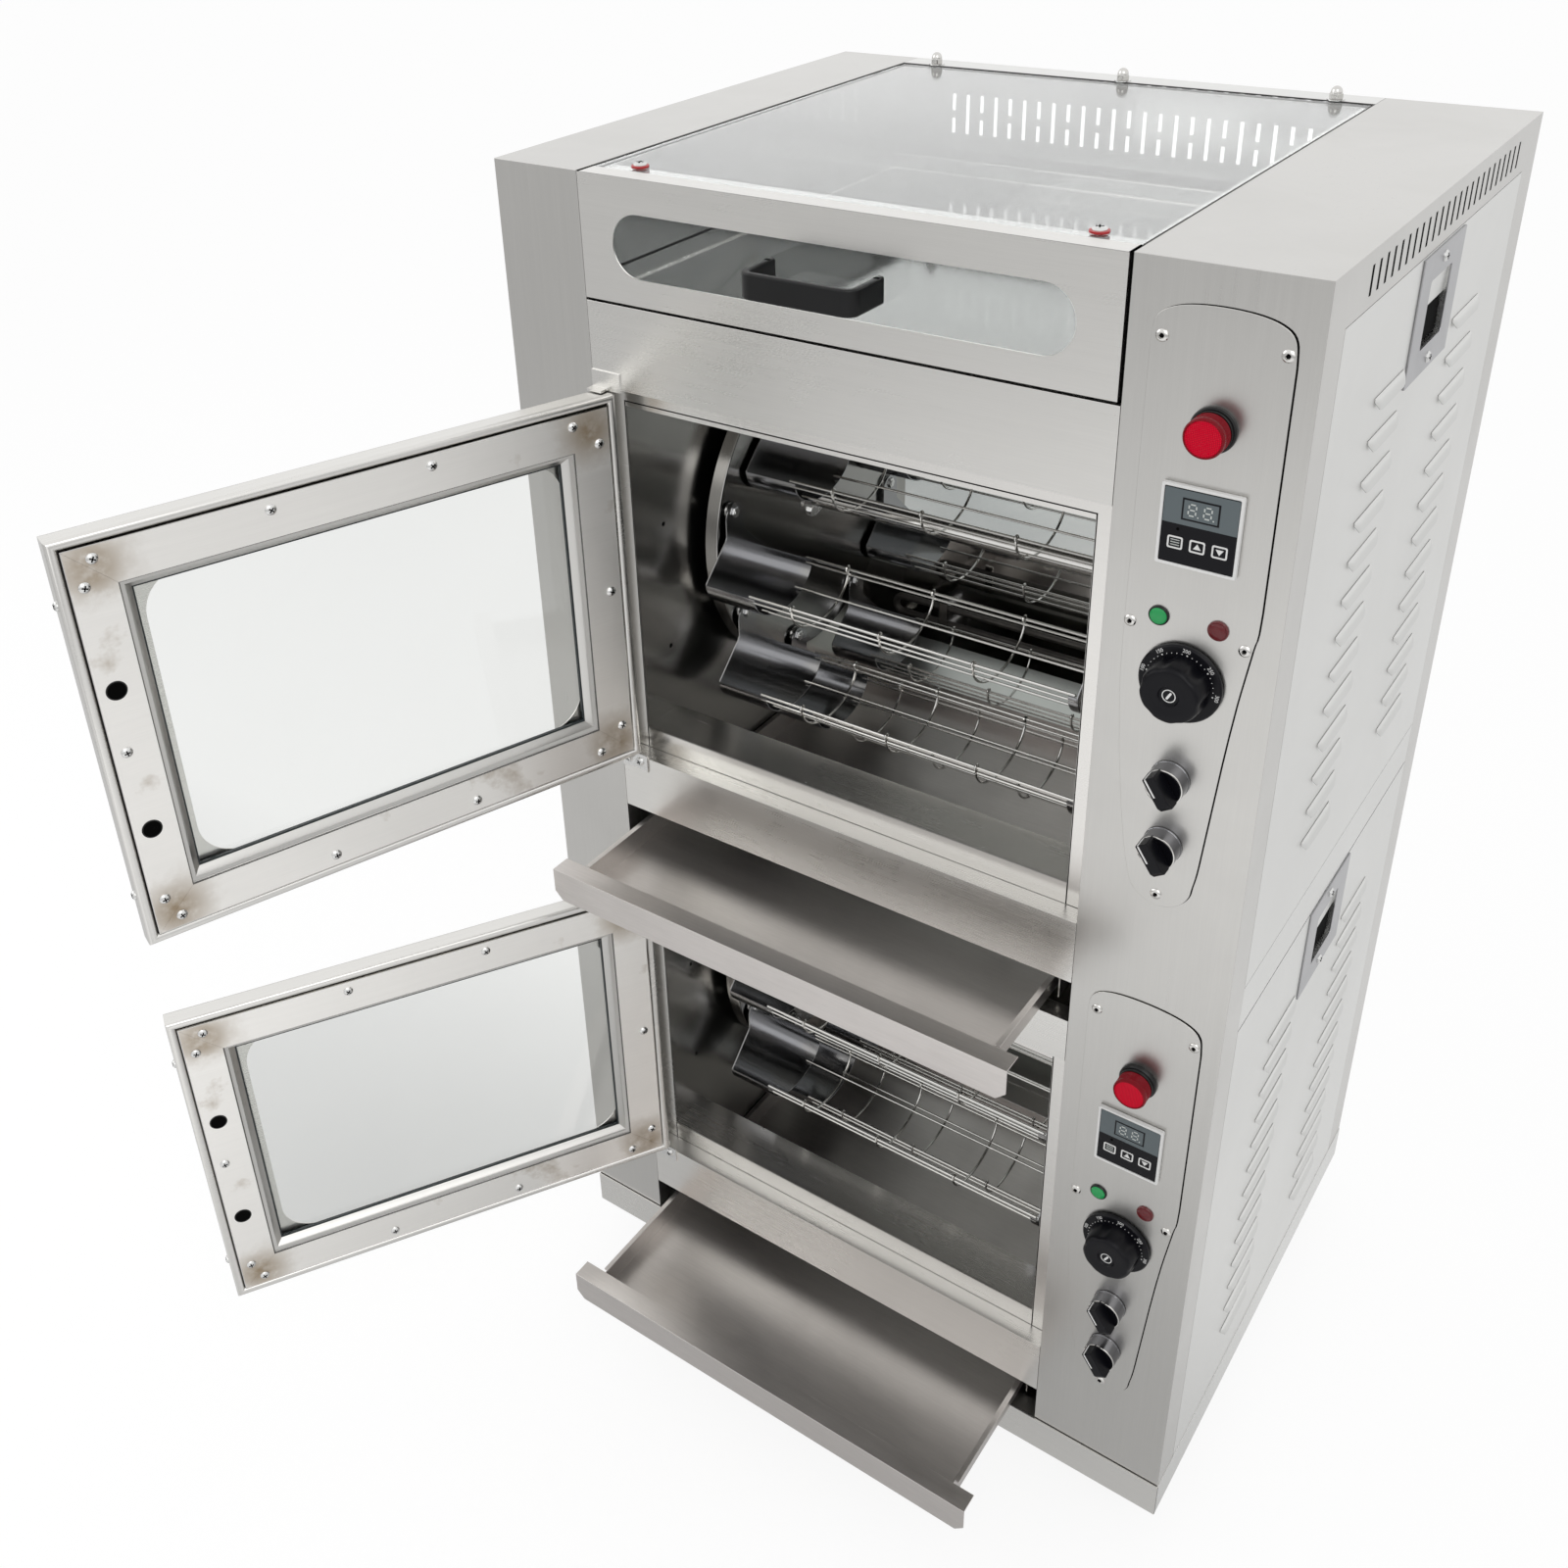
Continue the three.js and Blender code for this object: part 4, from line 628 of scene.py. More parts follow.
def makeDoor(deck):
    u, z = (-door["hinge"][0], door["width"] - door["hinge"][0]), (0, door["height"])
    outside, inside = -door["hinge"][1], door["thick"] - door["hinge"][1]
    piece, skin, roll, win = Piece(f"{deck}_door_frame_fine"), door["skin"], door["roll"], door["window"]
    hole = roundedLoop((z[0] + win, z[1] - win), (u[0] + win, u[1] - win - door["freeLap"]), door["corner"],
                       10)
    piece.take(pressed("y", [square(z, u), hole], (outside, outside + skin), 0.3), frontSteel)
    start, bend, lip = outside + skin * 0.6, (roll, inside - roll), inside - door["lip"]
    walls = [(0, start), *circle(bend, roll, 12, math.pi, -math.pi), (2 * roll, lip), (2 * roll - skin, lip),
             *circle(bend, roll - skin, 12, 0, math.pi), (skin, start)]
    piece.take(mitred(u, z, walls), frontSteel)
    # The door's shadow line is painted shade in black
    for key, finish in (("seal", gasketAndPaintedShadeBlack), ("grooveWall", brightSteel), ("slope", postSteel),
                        ("shadow", gasketAndPaintedShadeBlack), ("rubber", glassRubber)):
        piece.take(mitred(u, z, shift(door[key], 0, inside, -1)), finish)
    for side in range(4):
        piece.take(pressed("y", [doorStrip(side, u, z)], (inside - skin, inside - 0.1), 0.15), doorSteel)
    # Eyelets over black covers: painted shade in the holes
    for height in door["holes"]:
        centre = (u[1] - door["holeIn"], inside, height)
        piece.take(turned(door["eyelet"], 28, "y", centre, True), satinBlack)
        piece.take(turned(door["eyeletCover"], 28, "y", centre), blackAndPaintedShade)
    screws = door["screws"]
    places = [(a + u[0], w) for a in screws["across"] for w in (screws["in"], z[1] - screws["in"])]
    places += [(w, h) for w in (u[0] + screws["in"], u[1] - screws["in"]) for h in screws["up"]]
    for a, h in places:
        addScrew(piece, (a, inside - 0.1, h), (0, 1, 0), 4.6, 2.4, a * 0.7 + h)
    for h in screws["edge"]:
        addScrew(piece, (u[1], -outside, h), (1, 0, 0), 4.2, 2.6, h)
    grip = door["handle"]
    stand = Matrix.Translation(Vector((u[1] - door["holeIn"], outside, z[1] / 2)) / 1000)
    piece.take(strapHandle(grip, True), satinBlack, stand)
    for end in (-1, 1):
        footZ = centred(end * (grip["span"] / 2 - grip["footIn"]), grip["footHalf"])
        piece.take(plate(centred(0, grip["width"] / 2 + grip["foot"]), (-1.6, 0.2), footZ, 0.6), satinBlack,
                   stand)
    turn = Matrix.Rotation(-math.radians(door["open"][deck]), 4, "Z")
    stand = Matrix.Translation(spot(*door["pivot"], decks[deck] + door["bottom"])) @ turn
    piece.done(f"{deck}_door", [f"{deck}_door_frame"], "brushed_steel", stand)


# One of the four flat strips round the door's inner face, its ends mitred
def doorStrip(side, u, z):
    start, stile, gap = door["groove"] + 0.6, door["stile"], door["stripGap"]
    along, other = (u, z) if side % 2 == 0 else (z, u)
    near, far = (other[0] + start, other[0] + stile) if side < 2 else (other[1] - start, other[1] - stile)
    strip = [(along[0] + start + gap, near), (along[1] - start - gap, near), (along[1] - stile - gap, far),
             (along[0] + stile + gap, far)]
    return [(b, a) if side % 2 == 0 else (a, b) for a, b in strip]


stain = {"rough": 0.36, "colour": (0.88, 0.865, 0.835), "in": (28, 27), "spread": 0.042,
         "burn": (0.3, 0.22, 0.13)}
middle = (door["width"] / 2 - door["hinge"][0], 0, door["height"] / 2)
doorSteel = stainedSteel("doorSteel", stain["colour"], stain["rough"], tuple(c / 1000 for c in middle),
                         ((door["width"] / 2 - stain["in"][0]) / 1000,
                          (door["thick"] - door["hinge"][1]) / 1000,
                          (door["height"] / 2 - stain["in"][1]) / 1000), stain["spread"], stain["burn"])
for deck in decks:
    makeDoor(deck)
print("stage: doors")


# Drums and baskets. The profiles are in (radius, distance beyond the disc's face),
# with the sides they turn in
drum = {
    "y": 275, "z": 281.5, "face": 195, "shaft": 10, "shaftEnds": (-231, 239), "circle": 150, "baskets": 8,
    "start": {"lower": 21, "upper": 29.6}, "hubBolts": {"circle": 16, "start": 45, "step": 90},
    "dish": (((9.5, 0), (166, 0), (167.4, 0.6), (168, 2), (168, 14), (166.8, 14), (166.8, 2.2), (165.8, 1.2),
              (9.5, 1.2)), 96),
    "hub": (((9.5, 0.6), (30, 0.6), (30, 6), (29, 7), (9.5, 7)), 40),
    "collar": (((9.5, 0), (22, 0), (22, -1.6), (21, -2.4), (9.5, -2.4)), 36),
    "hubNut": (((0, -6), (3.4, -6), (4.2, -5.2), (4.2, -2.4), (0, -2.4)), 6),
    "shank": (((0, -8.1), (2.9, -8.1), (3.1, -7.3), (3.1, 4.6), (0, 4.6)), 12),
    "head": (((0, -7.5), (4.9, -7.5), (5.8, -6.8), (5.8, -5.5), (0, -5.5)), 6),
    "nut": (((3, 1.2), (6, 1.2), (6, 5), (5.4, 5.6), (3, 5.6)), 6),
    "washer": (((3, 0), (8.5, 0), (8.5, -1), (3, -1)), 24),
}


def around(radius, degrees):
    a = math.radians(degrees)
    return radius * math.cos(a), radius * math.sin(a)


def basketTurn(deck, i):
    return around(drum["circle"], drum["start"][deck] + 360 / drum["baskets"] * i)


def makeDrum(deck):
    piece, bolts = Piece(f"{deck}_drum_fine"), drum["hubBolts"]
    for side in (-1, 1):
        def add(key, finish=zincSteel, centre=(0, 0)):
            profile, sides = drum[key]
            along = [(radius, side * (drum["face"] + a)) for radius, a in profile]
            piece.take(turned(along, sides, "x", (0, *centre), profile[0][0] > 0), finish)

        add("dish", discSteel)
        add("hub")
        add("collar")
        for k in range(4):
            add("hubNut", centre=around(bolts["circle"], bolts["start"] + bolts["step"] * k))
        for i in range(drum["baskets"]):
            for key in ("shank", "head", "nut", "washer"):
                add(key, centre=basketTurn(deck, i))
    (low, high), shaft, ease = drum["shaftEnds"], drum["shaft"], 0.8
    rod = [(0, low), (shaft - ease, low), (shaft, low + ease), (shaft, high - ease), (shaft - ease, high),
           (0, high)]
    piece.take(turned(rod, 32, "x"), brightSteel)
    piece.done(f"{deck}_drum", [f"{deck}_drum"], "mirror_steel",
               Matrix.Translation(spot(bay["centre"], drum["y"], decks[deck] + drum["z"])))


basket = {
    "half": 49.4, "rim": 57, "bottom": 32, "end": 191, "sheets": {-1: 56, 1: 9}, "lap": 6, "thick": 1.2,
    "wire": 1.5, "hoop": 1.25, "mid": (28, 79), "hoops": (-93.5, 0, 93.5), "hook": 252, "ear": (14, 21.6, 9),
    "eye": 4.9, "neck": (2, 3),
}


def basketCurve(grow, steps=24):
    angles = [math.radians(180 + 180 * i / steps) for i in range(steps + 1)]
    half, deep = basket["half"] + grow, basket["bottom"] + grow
    return [(half * math.cos(a), deep * math.sin(a) - basket["rim"]) for a in angles]


# A pressed sheet end: its trough, and the flat end with the hanger ear
def addBasketEnd(piece, side):
    t, end, half, rim = basket["thick"], basket["end"], basket["half"], basket["rim"]
    (earHalf, earFoot, earTop), (neckOut, neckDown) = basket["ear"], basket["neck"]
    outer, core = basketCurve(0), basketCurve(-t)
    span = sorted((side * (end - basket["sheets"][side]), side * end))
    piece.take(pressed("x", [outer + core[::-1]], span, 0.25), troughSteel)
    ear = outer + [(half, 1 - rim), (earHalf + neckOut, -earFoot - neckDown), (earHalf, -earFoot)]
    ear += circle((0, earTop - earHalf), earHalf, 12, 0, math.pi)
    ear += [(-earHalf, -earFoot), (-earHalf - neckOut, -earFoot - neckDown), (-half, 1 - rim)]
    hole = circle((0, 0), basket["eye"], 20)
    piece.take(pressed("x", [ear, hole], sorted((side * (end - t), side * end)), 0.2), troughSteel)


def makeBasketMesh():
    piece, w, h = Piece("basketWork"), basket["wire"], basket["hoop"]
    for side in (-1, 1):
        addBasketEnd(piece, side)
    left, right = (side * (basket["end"] - basket["sheets"][side] + basket["lap"]) for side in (-1, 1))
    rimY, rimZ = basket["half"] - w, w - basket["rim"]
    lengths = ((rimY, rimZ, w), (rimY, rimZ - 3.6 * w, w * 0.8), (basket["mid"][0], -basket["mid"][1], h))
    for side in (-1, 1):
        for y, z, radius in lengths:
            piece.take(wire([(left, y * side, z), (right, y * side, z)], radius, 10), wireSteel)
    for x in basket["hoops"]:
        hooks = [circle((side * rimY, rimZ), w + h, 14, 0 if side > 0 else math.pi,
                        side * math.radians(basket["hook"])) for side in (-1, 1)]
        path = hooks[0][::-1] + basketCurve(-h * 0.4) + hooks[1]
        piece.take(wire([(x, a, b) for a, b in path], h, 8), wireSteel)
    made = piece.done("lower_drum")
    data = made.data
    bpy.data.objects.remove(made)
    return data


basketMesh = makeBasketMesh()
for deck in decks:
    makeDrum(deck)
    for i in range(drum["baskets"]):
        y, z = basketTurn(deck, i)
        name = f"{deck}_basket_{i + 1}"
        place = spot(bay["centre"], drum["y"] + y, decks[deck] + drum["z"] + z)
        placePiece(f"{name}_fine", basketMesh, name, [name], Matrix.Translation(place))
print("stage: drums and baskets")


# Oven linings with their heaters, shelves and bearing housings. Heights are above the deck,
# and the turned profiles are in (radius, distance into the wall)
lining = {
    "left": 109, "right": 550, "front": 18.3, "back": 505, "low": 5, "high": 464.5, "mouth": (129.5, 460.5),
    "flange": (106.8, 482.2), "backSplit": 148, "lap": 0.6,
    "shelf": ((0, -1.2), (46.8, -1.2), (46.8, -20), (48, -20), (48, -0.8), (47.2, 0), (0, 0)),
    "cup": (((10.3, 0), (22, 0), (22, 9.6), (21, 10.8), (10.3, 10.8)), 40),
    "cover": (((10.6, -1.6), (30, -1.6), (31, -0.6), (31, 0), (10.6, 0)), 48),
    "ledge": {"wide": 4.4, "y": (24, 490), "z": (27.8, 29.3)},
    "heater": {"y": (95, 455), "z": 64, "gap": 20, "radius": 4, "bendIn": 20, "tail": 14, "clipIn": (80, 90),
               "clip": 10, "clipY": (-6, -4.2), "over": 8,
               "nut": ((4.2, -3), (8, -3), (8.6, -2), (8.6, 0), (4.2, 0))},
    "lamp": {"at": (455, 425), "base": ((0, 0.4), (24, 0.4), (24, -2), (23, -3), (19.4, -3), (0, -3)),
             "dome": (19, 6), "sunk": 2.8, "tip": 8.9},
    "screws": ((60, 200), (60, 330), (250, 440), (250, 130)),
    "hole": ((0, 0.06), (2.3, 0.06), (2.3, -0.4), (0, -0.4)),
}


def addHeater(piece, y, z):
    heater, right = lining["heater"], lining["right"]
    bend, half = lining["left"] + heater["bendIn"], heater["gap"] / 2
    tail = right + cabinet["sheet"] + heater["tail"]
    arc = circle((bend + half, z + half), half, 14, -math.pi / 2, -math.pi)
    path = [(tail, y, z), *((a, y, b) for a, b in arc), (tail, y, z + 2 * half)]
    piece.put(wire(path, heater["radius"], 16), heaterSheath)
    for end in (z, z + 2 * half):
        piece.put(turned(heater["nut"], 6, "x", (right, y, end), True), zincSteel)
    for x in (lining["left"] + heater["clipIn"][0], right - heater["clipIn"][1]):
        clip = plate((x, x + heater["clip"]), [y + a for a in heater["clipY"]],
                     (z - heater["over"], z + 2 * half + heater["over"]), 0.3)
        piece.put(clip, liningSteel)


def makeLining(deck):
    piece, z0, t, lap = Piece(f"{deck}_lining"), decks[deck], cabinet["sheet"], lining["lap"]
    left, right, front, back = lining["left"], lining["right"], lining["front"], lining["back"]
    low, high, split = z0 + lining["low"], z0 + lining["high"], z0 + lining["backSplit"]
    for x in ((left - t, left), (right, right + t)):
        piece.put(plate(x, (front, back + t), (low, high), 0.2), liningSteel)
    # Lower back plate is a dark mirror; upper back plate is pale with a painted glow standing in for light on
    # it
    for z, finish in (((low, split), backMirror), ((split, high), paintedGlowBack)):
        piece.put(plate((left, right), (back, back + t), z, 0), finish)
    piece.put(plate((left - t, right + t), (front, back + t), (high, high + t), 0.2), liningSteel)
    sill, head = (z0 + h for h in lining["mouth"])
    rim = square([z0 + h for h in lining["flange"]],
                 (bay["left"] + bay["flange"], bay["right"] - bay["flange"]))
    piece.put(pressed("y", [rim, square((sill, head), (left, right))], (front, front + t), 0.3), lipAndHighlightSteel)
    piece.put(pressed("x", [shift(lining["shelf"], front, sill)], (left - lap, right + lap), 0.2), lipAndHighlightSteel)
    for side, wall in ((-1, left), (1, right)):
        for profile, sides in (lining["cup"], lining["cover"]):
            along = [(radius, wall + side * a) for radius, a in profile]
            piece.put(turned(along, sides, "x", (0, drum["y"], z0 + drum["z"]), True), zincSteel)
    ledge = lining["ledge"]
    for x in ((left - lap, left + ledge["wide"]), (right - ledge["wide"], right + lap)):
        piece.put(plate(x, ledge["y"], [z0 + h for h in ledge["z"]], 0.2), liningSteel)
    for y in lining["heater"]["y"]:
        addHeater(piece, y, z0 + lining["heater"]["z"])
    lamp = lining["lamp"]
    centre, (wide, deep) = (right, lamp["at"][0], z0 + lamp["at"][1]), lamp["dome"]
    piece.put(turned(lamp["base"], 40, "x", centre), zincSteel)
    dome = [(wide * math.cos(a), -lamp["sunk"] - deep * math.sin(a))
            for a in (math.pi / 16 * k for k in range(8))]
    piece.put(turned(dome + [(0, -lamp["tip"])], 40, "x", centre), lampGlass)
    # Black discs on the left wall: painted shade in its holes
    for y, h in lining["screws"]:
        piece.put(turned(lining["hole"], 16, "x", (left, y, z0 + h)), blackAndPaintedShade)
        addScrew(piece, (right, y, z0 + h), (-1, 0, 0), 3.2, 1.8, origin=spot(0, 0, 0))
    piece.done("cabinet", [f"{deck}_oven_liner"], "mirror_steel")


for deck in decks:
    makeLining(deck)
print("stage: linings")


# Side panels, in (depth, height): louvres lanced open along their lower edge,
# lift plates with sunk finger cups
flank = {
    "y": (38.3, 507.7), "z": (30.3, 1194.2), "seams": (597, 643), "gap": 0.6,
    "louvres": {"count": 13, "pitch": 32.4, "height": 9.5, "proud": 3.6, "columns": ((141, 71), (345, 77)),
                "tops": (1112, 505.5), "thick": 0.8, "flatShare": 0.72, "lip": 0.2, "holeIn": (9, 2, 4)},
    "slots": {"count": 25, "first": 83, "pitch": 16.44, "half": 2.3, "z": (1203.6, 1224.9),
              "x": (-1.15, 0.04), "dark": ((-3.4, -2), (76, 484), (1198, 1228))},
}
lift = {
    "y": (218, 329), "height": 99, "tops": (1192.5, 595), "mouth": (245, 302), "mouthHeight": 54, "corner": 3,
    "thick": 1.5, "cup": 32, "wall": 1, "flap": 2.2, "flapDrop": 1.2, "flapTop": (-0.9, -2.1), "bowIn": 0.6,
    "bowRise": (-6, 10), "bowX": (-29, -3), "screwIn": 10,
    "screw": ((4.6, -0.2), (4.6, 0.5), (3.8, 1.7), (2.1, 2.3), (0, 2.5)), "screwSlot": (2.4, 0.5, 1.4, 2.53),
}


def louvreHood(y0, length, top):
    part, hood = bmesh.new(), flank["louvres"]
    across, around, rows = 14, 5, []
    for i in range(across + 1):
        share = -1 + 2 * i / across
        beyond = max(0.0, (abs(share) - hood["flatShare"]) / (1 - hood["flatShare"]))
        swell = math.sqrt(max(0.0, 1 - beyond ** 2))
        row = []
        for k in range(around + 1):
            a = math.pi / 2 * k / around
            drop = hood["height"] * (1 - math.cos(a)) * (hood["lip"] + (1 - hood["lip"]) * swell)
            out = hood["proud"] * swell * math.sin(a) + 0.02
            row.append(part.verts.new((out, y0 + length * (share + 1) / 2, top - drop)))
        rows.append(row)
    for a, b in zip(rows, rows[1:]):
        for k in range(around):
            part.faces.new([a[k], a[k + 1], b[k + 1], b[k]])
    bmesh.ops.recalc_face_normals(part, faces=part.faces)
    bmesh.ops.solidify(part, geom=part.faces[:], thickness=hood["thick"])
    return part


def addLift(bend, top):
    thick, cup, mouth = lift["thick"], lift["cup"], lift["mouth"]
    low = top - (lift["height"] + lift["mouthHeight"]) / 2
    high = low + lift["mouthHeight"]
    middle, centre = (low + high) / 2, sum(mouth) / 2
    ring = square(lift["y"], (top - lift["height"], top))
    opening = roundedLoop(mouth, (low, high), lift["corner"], 4)
    bend(pressed("x", [ring, opening], (0.02, thick), 0.4), liftSteel)
    wide = (mouth[0] - thick, mouth[1] + thick)
    for y, z in ((wide, (low - thick, low)), (wide, (high, high + thick)),
                 (wide[:1] + mouth[:1], (low, high)), (mouth[1:] + wide[1:], (low, high))):
        bend(plate((-cup, 0.1), y, z, 0.2), zincSteel)
    bend(plate((-cup, thick - cup), mouth, (low, high), 0), zincSteel)
    # A black solid in the lower part of the cup: painted shade in the pocket
    (left, right), (rise, swell) = (mouth[0] + lift["bowIn"], mouth[1] - lift["bowIn"]), lift["bowRise"]
    bow = [(left, low + lift["bowIn"]), (right, low + lift["bowIn"])]
    for share in (k / 16 for k in range(17)):
        bow.append((right - (right - left) * share,
                    middle + rise + swell * math.sin(math.pi * (0.1 + 0.8 * share))))
    bend(pressed("x", [bow], lift["bowX"], 1.2), blackAndPaintedShade)
    (top0, top1), flap, drop = lift["flapTop"], lift["flap"], lift["flapDrop"]
    sheet = [(high, top0), (middle + 4, -flap), (middle + 4, -flap - drop), (high, top1)]
    bend(pressed("y", [sheet], (mouth[0] + 0.4, mouth[1] - 0.4), 0.2), sideSteel)
    # Screws with black cross slots: painted shade in the recess
    long, narrow, sunk, proud = lift["screwSlot"]
    for z in (top - lift["height"] + lift["screwIn"], top - lift["screwIn"]):
        bend(turned(lift["screw"], 20, "x", (thick, centre, z)), zincSteel)
        for a, b in ((long, narrow), (narrow, long)):
            bend(plate((thick + sunk, thick + proud), centred(centre, a), centred(z, b), 0), blackAndPaintedShade)


def makeFlank(side):
    piece, t, gap, y = Piece(f"{side}_flank"), cabinet["sheet"], flank["gap"], flank["y"]
    mirror = Matrix.Identity(4) if side == "right" else Matrix.Scale(-1, 4, (1, 0, 0))
    stand = mirror @ Matrix.Translation(spot(cabinet["width"], 0, 0))

    def bend(part, finish):
        piece.take(part, finish, stand)

    hood, (seamLow, seamHigh) = flank["louvres"], flank["seams"]
    bend(pressed("x", [square(y, (seamLow + gap, seamHigh - gap))], (-t, 0), 0.25), sideSteel)
    holeSide, holeLow, holeHigh = hood["holeIn"]
    levels = (((seamHigh + gap, flank["z"][1]), hood["tops"][0], lift["tops"][0]),
              ((flank["z"][0], seamLow - gap), hood["tops"][1], lift["tops"][1]))
    for z, top, liftTop in levels:
        loops = [square(y, z)]
        for k in range(hood["count"]):
            high = top - hood["pitch"] * k
            for start, length in hood["columns"]:
                # Hoods in the darker steel: painted shade
                bend(louvreHood(start, length, high), louvrePaintedShadeSteel)
                loops.append(square((start + holeSide, start + length - holeSide),
                                    (high - hood["height"] + holeLow, high - holeHigh)))
        mouthLow = liftTop - (lift["height"] + lift["mouthHeight"]) / 2 - lift["wall"]
        loops.append(roundedLoop((lift["mouth"][0] - lift["wall"], lift["mouth"][1] + lift["wall"]),
                                 (mouthLow, mouthLow + lift["mouthHeight"] + 2 * lift["wall"]),
                                 lift["corner"], 4))
        bend(pressed("x", loops, (-t, 0), 0), sideSteel)
        addLift(bend, liftTop)
    # Black inserts wider than the air slots, lying on the sheet, and a black plate behind them: painted shade
    # in the slots
    slots = flank["slots"]
    bend(plate(*slots["dark"], 0.2), blackAndPaintedShade)
    for k in range(slots["count"]):
        bend(plate(slots["x"], centred(slots["first"] + slots["pitch"] * k, slots["half"]), slots["z"], 0),
             blackAndPaintedShade)
    piece.done("cabinet", [f"{side}_side_panel"], "panel_steel")


for side in ("left", "right"):
    makeFlank(side)
print("stage: flanks")


# Control panels, in (across, height) on the upper deck.
# Turned profiles are in (radius, distance towards the viewer)
control = {
    "pitch": 585, "face": -1.5, "thick": 1.2, "shadowGap": (0.9, 0.5),
    "foot": {"at": (633.5, 752), "radius": 26},
    "left": ((633.5, 1209), (612, 1207.6), (597, 1203.4), (588.6, 1196), (586.2, 1182), (586, 1150),
             (586, 953), (589.5, 880), (595, 825), (601.5, 778)),
    "right": ((662, 769), (665, 807), (670, 871), (675, 923), (681, 969), (684, 1000), (684, 1150),
              (683.6, 1182), (681, 1196), (672, 1203.4), (656, 1207.6)),
    "screws": ((594, 1184), (678.3, 1184.5), (590.6, 968.4), (675.8, 968.3), (632.4, 736.6)),
    "screwHead": ((4.6, -0.2), (4.6, 0.5), (3.9, 1.3), (2.9, 1.7), (2.1, 1.75), (2.1, 0.6), (0, 0.6)),
    "screwSocket": ((1.75, 0.5), (1.75, 1.2), (0, 1.2)),
}
lamp = {
    "at": (636, 1126), "stem": (11, 22),
    "ring": ((16.4, 0), (16.4, 2.6), (15.4, 4), (14.8, 4), (14.8, 7), (10, 7)), "radius": 14.5, "reach": 20.5,
    "rib": (1.7, 0.85, 0.1, 0.7), "ribs": 7, "capFoot": 4, "collar": 16.4,
    "disc": ((12.7, 5), (12.7, 19.8), (7.25, 19.95), (0, 20)),
}
pilot = {
    "at": ((611.7, 978.7), (655.5, 978.7)), "stem": (6, 18),
    "bezel": ((7.75, 0), (7.75, 1.1), (7.2, 1.8), (6.6, 1.8), (6.5, 0.8), (0, 0.8)),
    "dome": ((6.5, 0.8), (6.4, 2), (5.4, 2.7), (3.2, 3), (0, 3.1)),
}
timer = {
    "at": (634.7, 1052.7), "size": (58.4, 61.5), "proud": 4, "rim": 2.2, "off": 0.3, "body": (3, 40),
    "layers": ((dialBlack, (-27.2, 27.2), (-28.75, 28.75), (0, 3), 0.2),
               (screenBlue, (-26.6, 26.6), (1.5, 27.55), (2.8, 3.15), 0.1),
               (dialBlack, (-13.5, 13.5), (5.5, 22), (3, 3.3), 0.1),
               (screenBlue, (-12.2, 12.2), (6.8, 20.7), (3.1, 3.4), 0.1)),
    "digits": {"x": (-6, 5), "z": 13.8, "half": (2.6, 4.2), "lean": 0.08, "trim": 0.9, "stroke": 0.5,
               "out": (3.3, 3.5), "dot": ((0.6, 3.3), (0.6, 3.5), (0, 3.5)), "dotAt": (4.3, 9.2)},
    "segments": ((-1, 1, 1, 1), (-1, 1, 0, 0), (-1, 1, -1, -1), (-1, -1, 0, 1), (1, 1, 0, 1), (-1, -1, -1, 0),
                 (1, 1, -1, 0)),
    "keys": {"pitch": 16, "half": (5.6, 4.4), "z": ((-17.5, -8), (-16.3, -9.2)), "corner": (1.4, 0.8),
             "out": (3, 3.5), "lines": (-14.6, -12.7, -10.8), "line": (3.2, 0.3), "arrowZ": -12.75,
             "arrow": (2.8, 1.9, 2.3), "markOut": (3, 3.4)},
    "sensor": ((1.1, 3), (1.1, 3.25), (0, 3.25)), "sensorAt": (-15, -2.4),
}
dial = {
    "at": (633.5, 930), "box": (44, 36, 24), "off": 0.5, "grip": 24, "gripFoot": 5, "height": 25,
    "skirt": ((30.7, 0), (31.5, 0.8), (31.5, 3.2), (30.3, 4.6), (23.5, 5), (0, 5)),
    "stem": ((3.5, 0), (3.5, -11), (0, -11)),
    "crownRing": ((4.5, 22.85), (4.5, 23.25), (5.2, 23.25), (5.2, 22.85)), "crownSlot": (0.9, 3.4, 0.85),
    "numbers": ((50, -121), (100, -78), (150, -36), (200, 6), (250, 50), (300, 95)), "numberAt": (28.6, 4.78),
    "number": (4.1, 0.12),
    "dots": {"count": 26, "first": -121, "step": 8.64, "circle": 25.6, "radii": (0.38, 0.62)},
    "levels": ((1.0, 4.7, 1.0), (1.0, 8, 1.0), (0.99, 14, 0.8), (0.965, 20, 0.45), (0.93, 22.8, 0.3),
               (0.87, 24.4, 0.2), (0.8, 25, 0.1), (0.6, 24.7, 0), (0.34, 24.5, 0), (0.3, 23, 0), (0, 23, 0)),
    "scallops": 6, "scallopDepth": 2.6, "scallopTurn": 0.9,
}
selector = {
    "at": ((633.5, 845.5), (633.5, 785)), "box": (30, 30, 38), "proud": 14, "reach": 25.9, "width": 10.6,
    "length": 29, "chamfer": 4, "line": 2.6, "lineHalf": 0.7, "turn": 34,
    "stem": ((10.3, 0.2), (10.3, -11), (0, -11)),
    "bezel": ((15.5, 0), (15.5, 1.2), (15.1, 1.6), (15.1, 13), (14.8, 13.8), (14.2, 14), (13.6, 13.6),
              (13.5, 12), (0, 12)),
    "rim": ((15, 13.3), (14.95, 13.9), (14.3, 14.12), (13.6, 13.7), (13.6, 13.1)),
    "bowl": ((13.4, 11.8), (13.4, 13.1), (12.9, 13.5), (7.75, 12.4), (0, 12.1)),
}


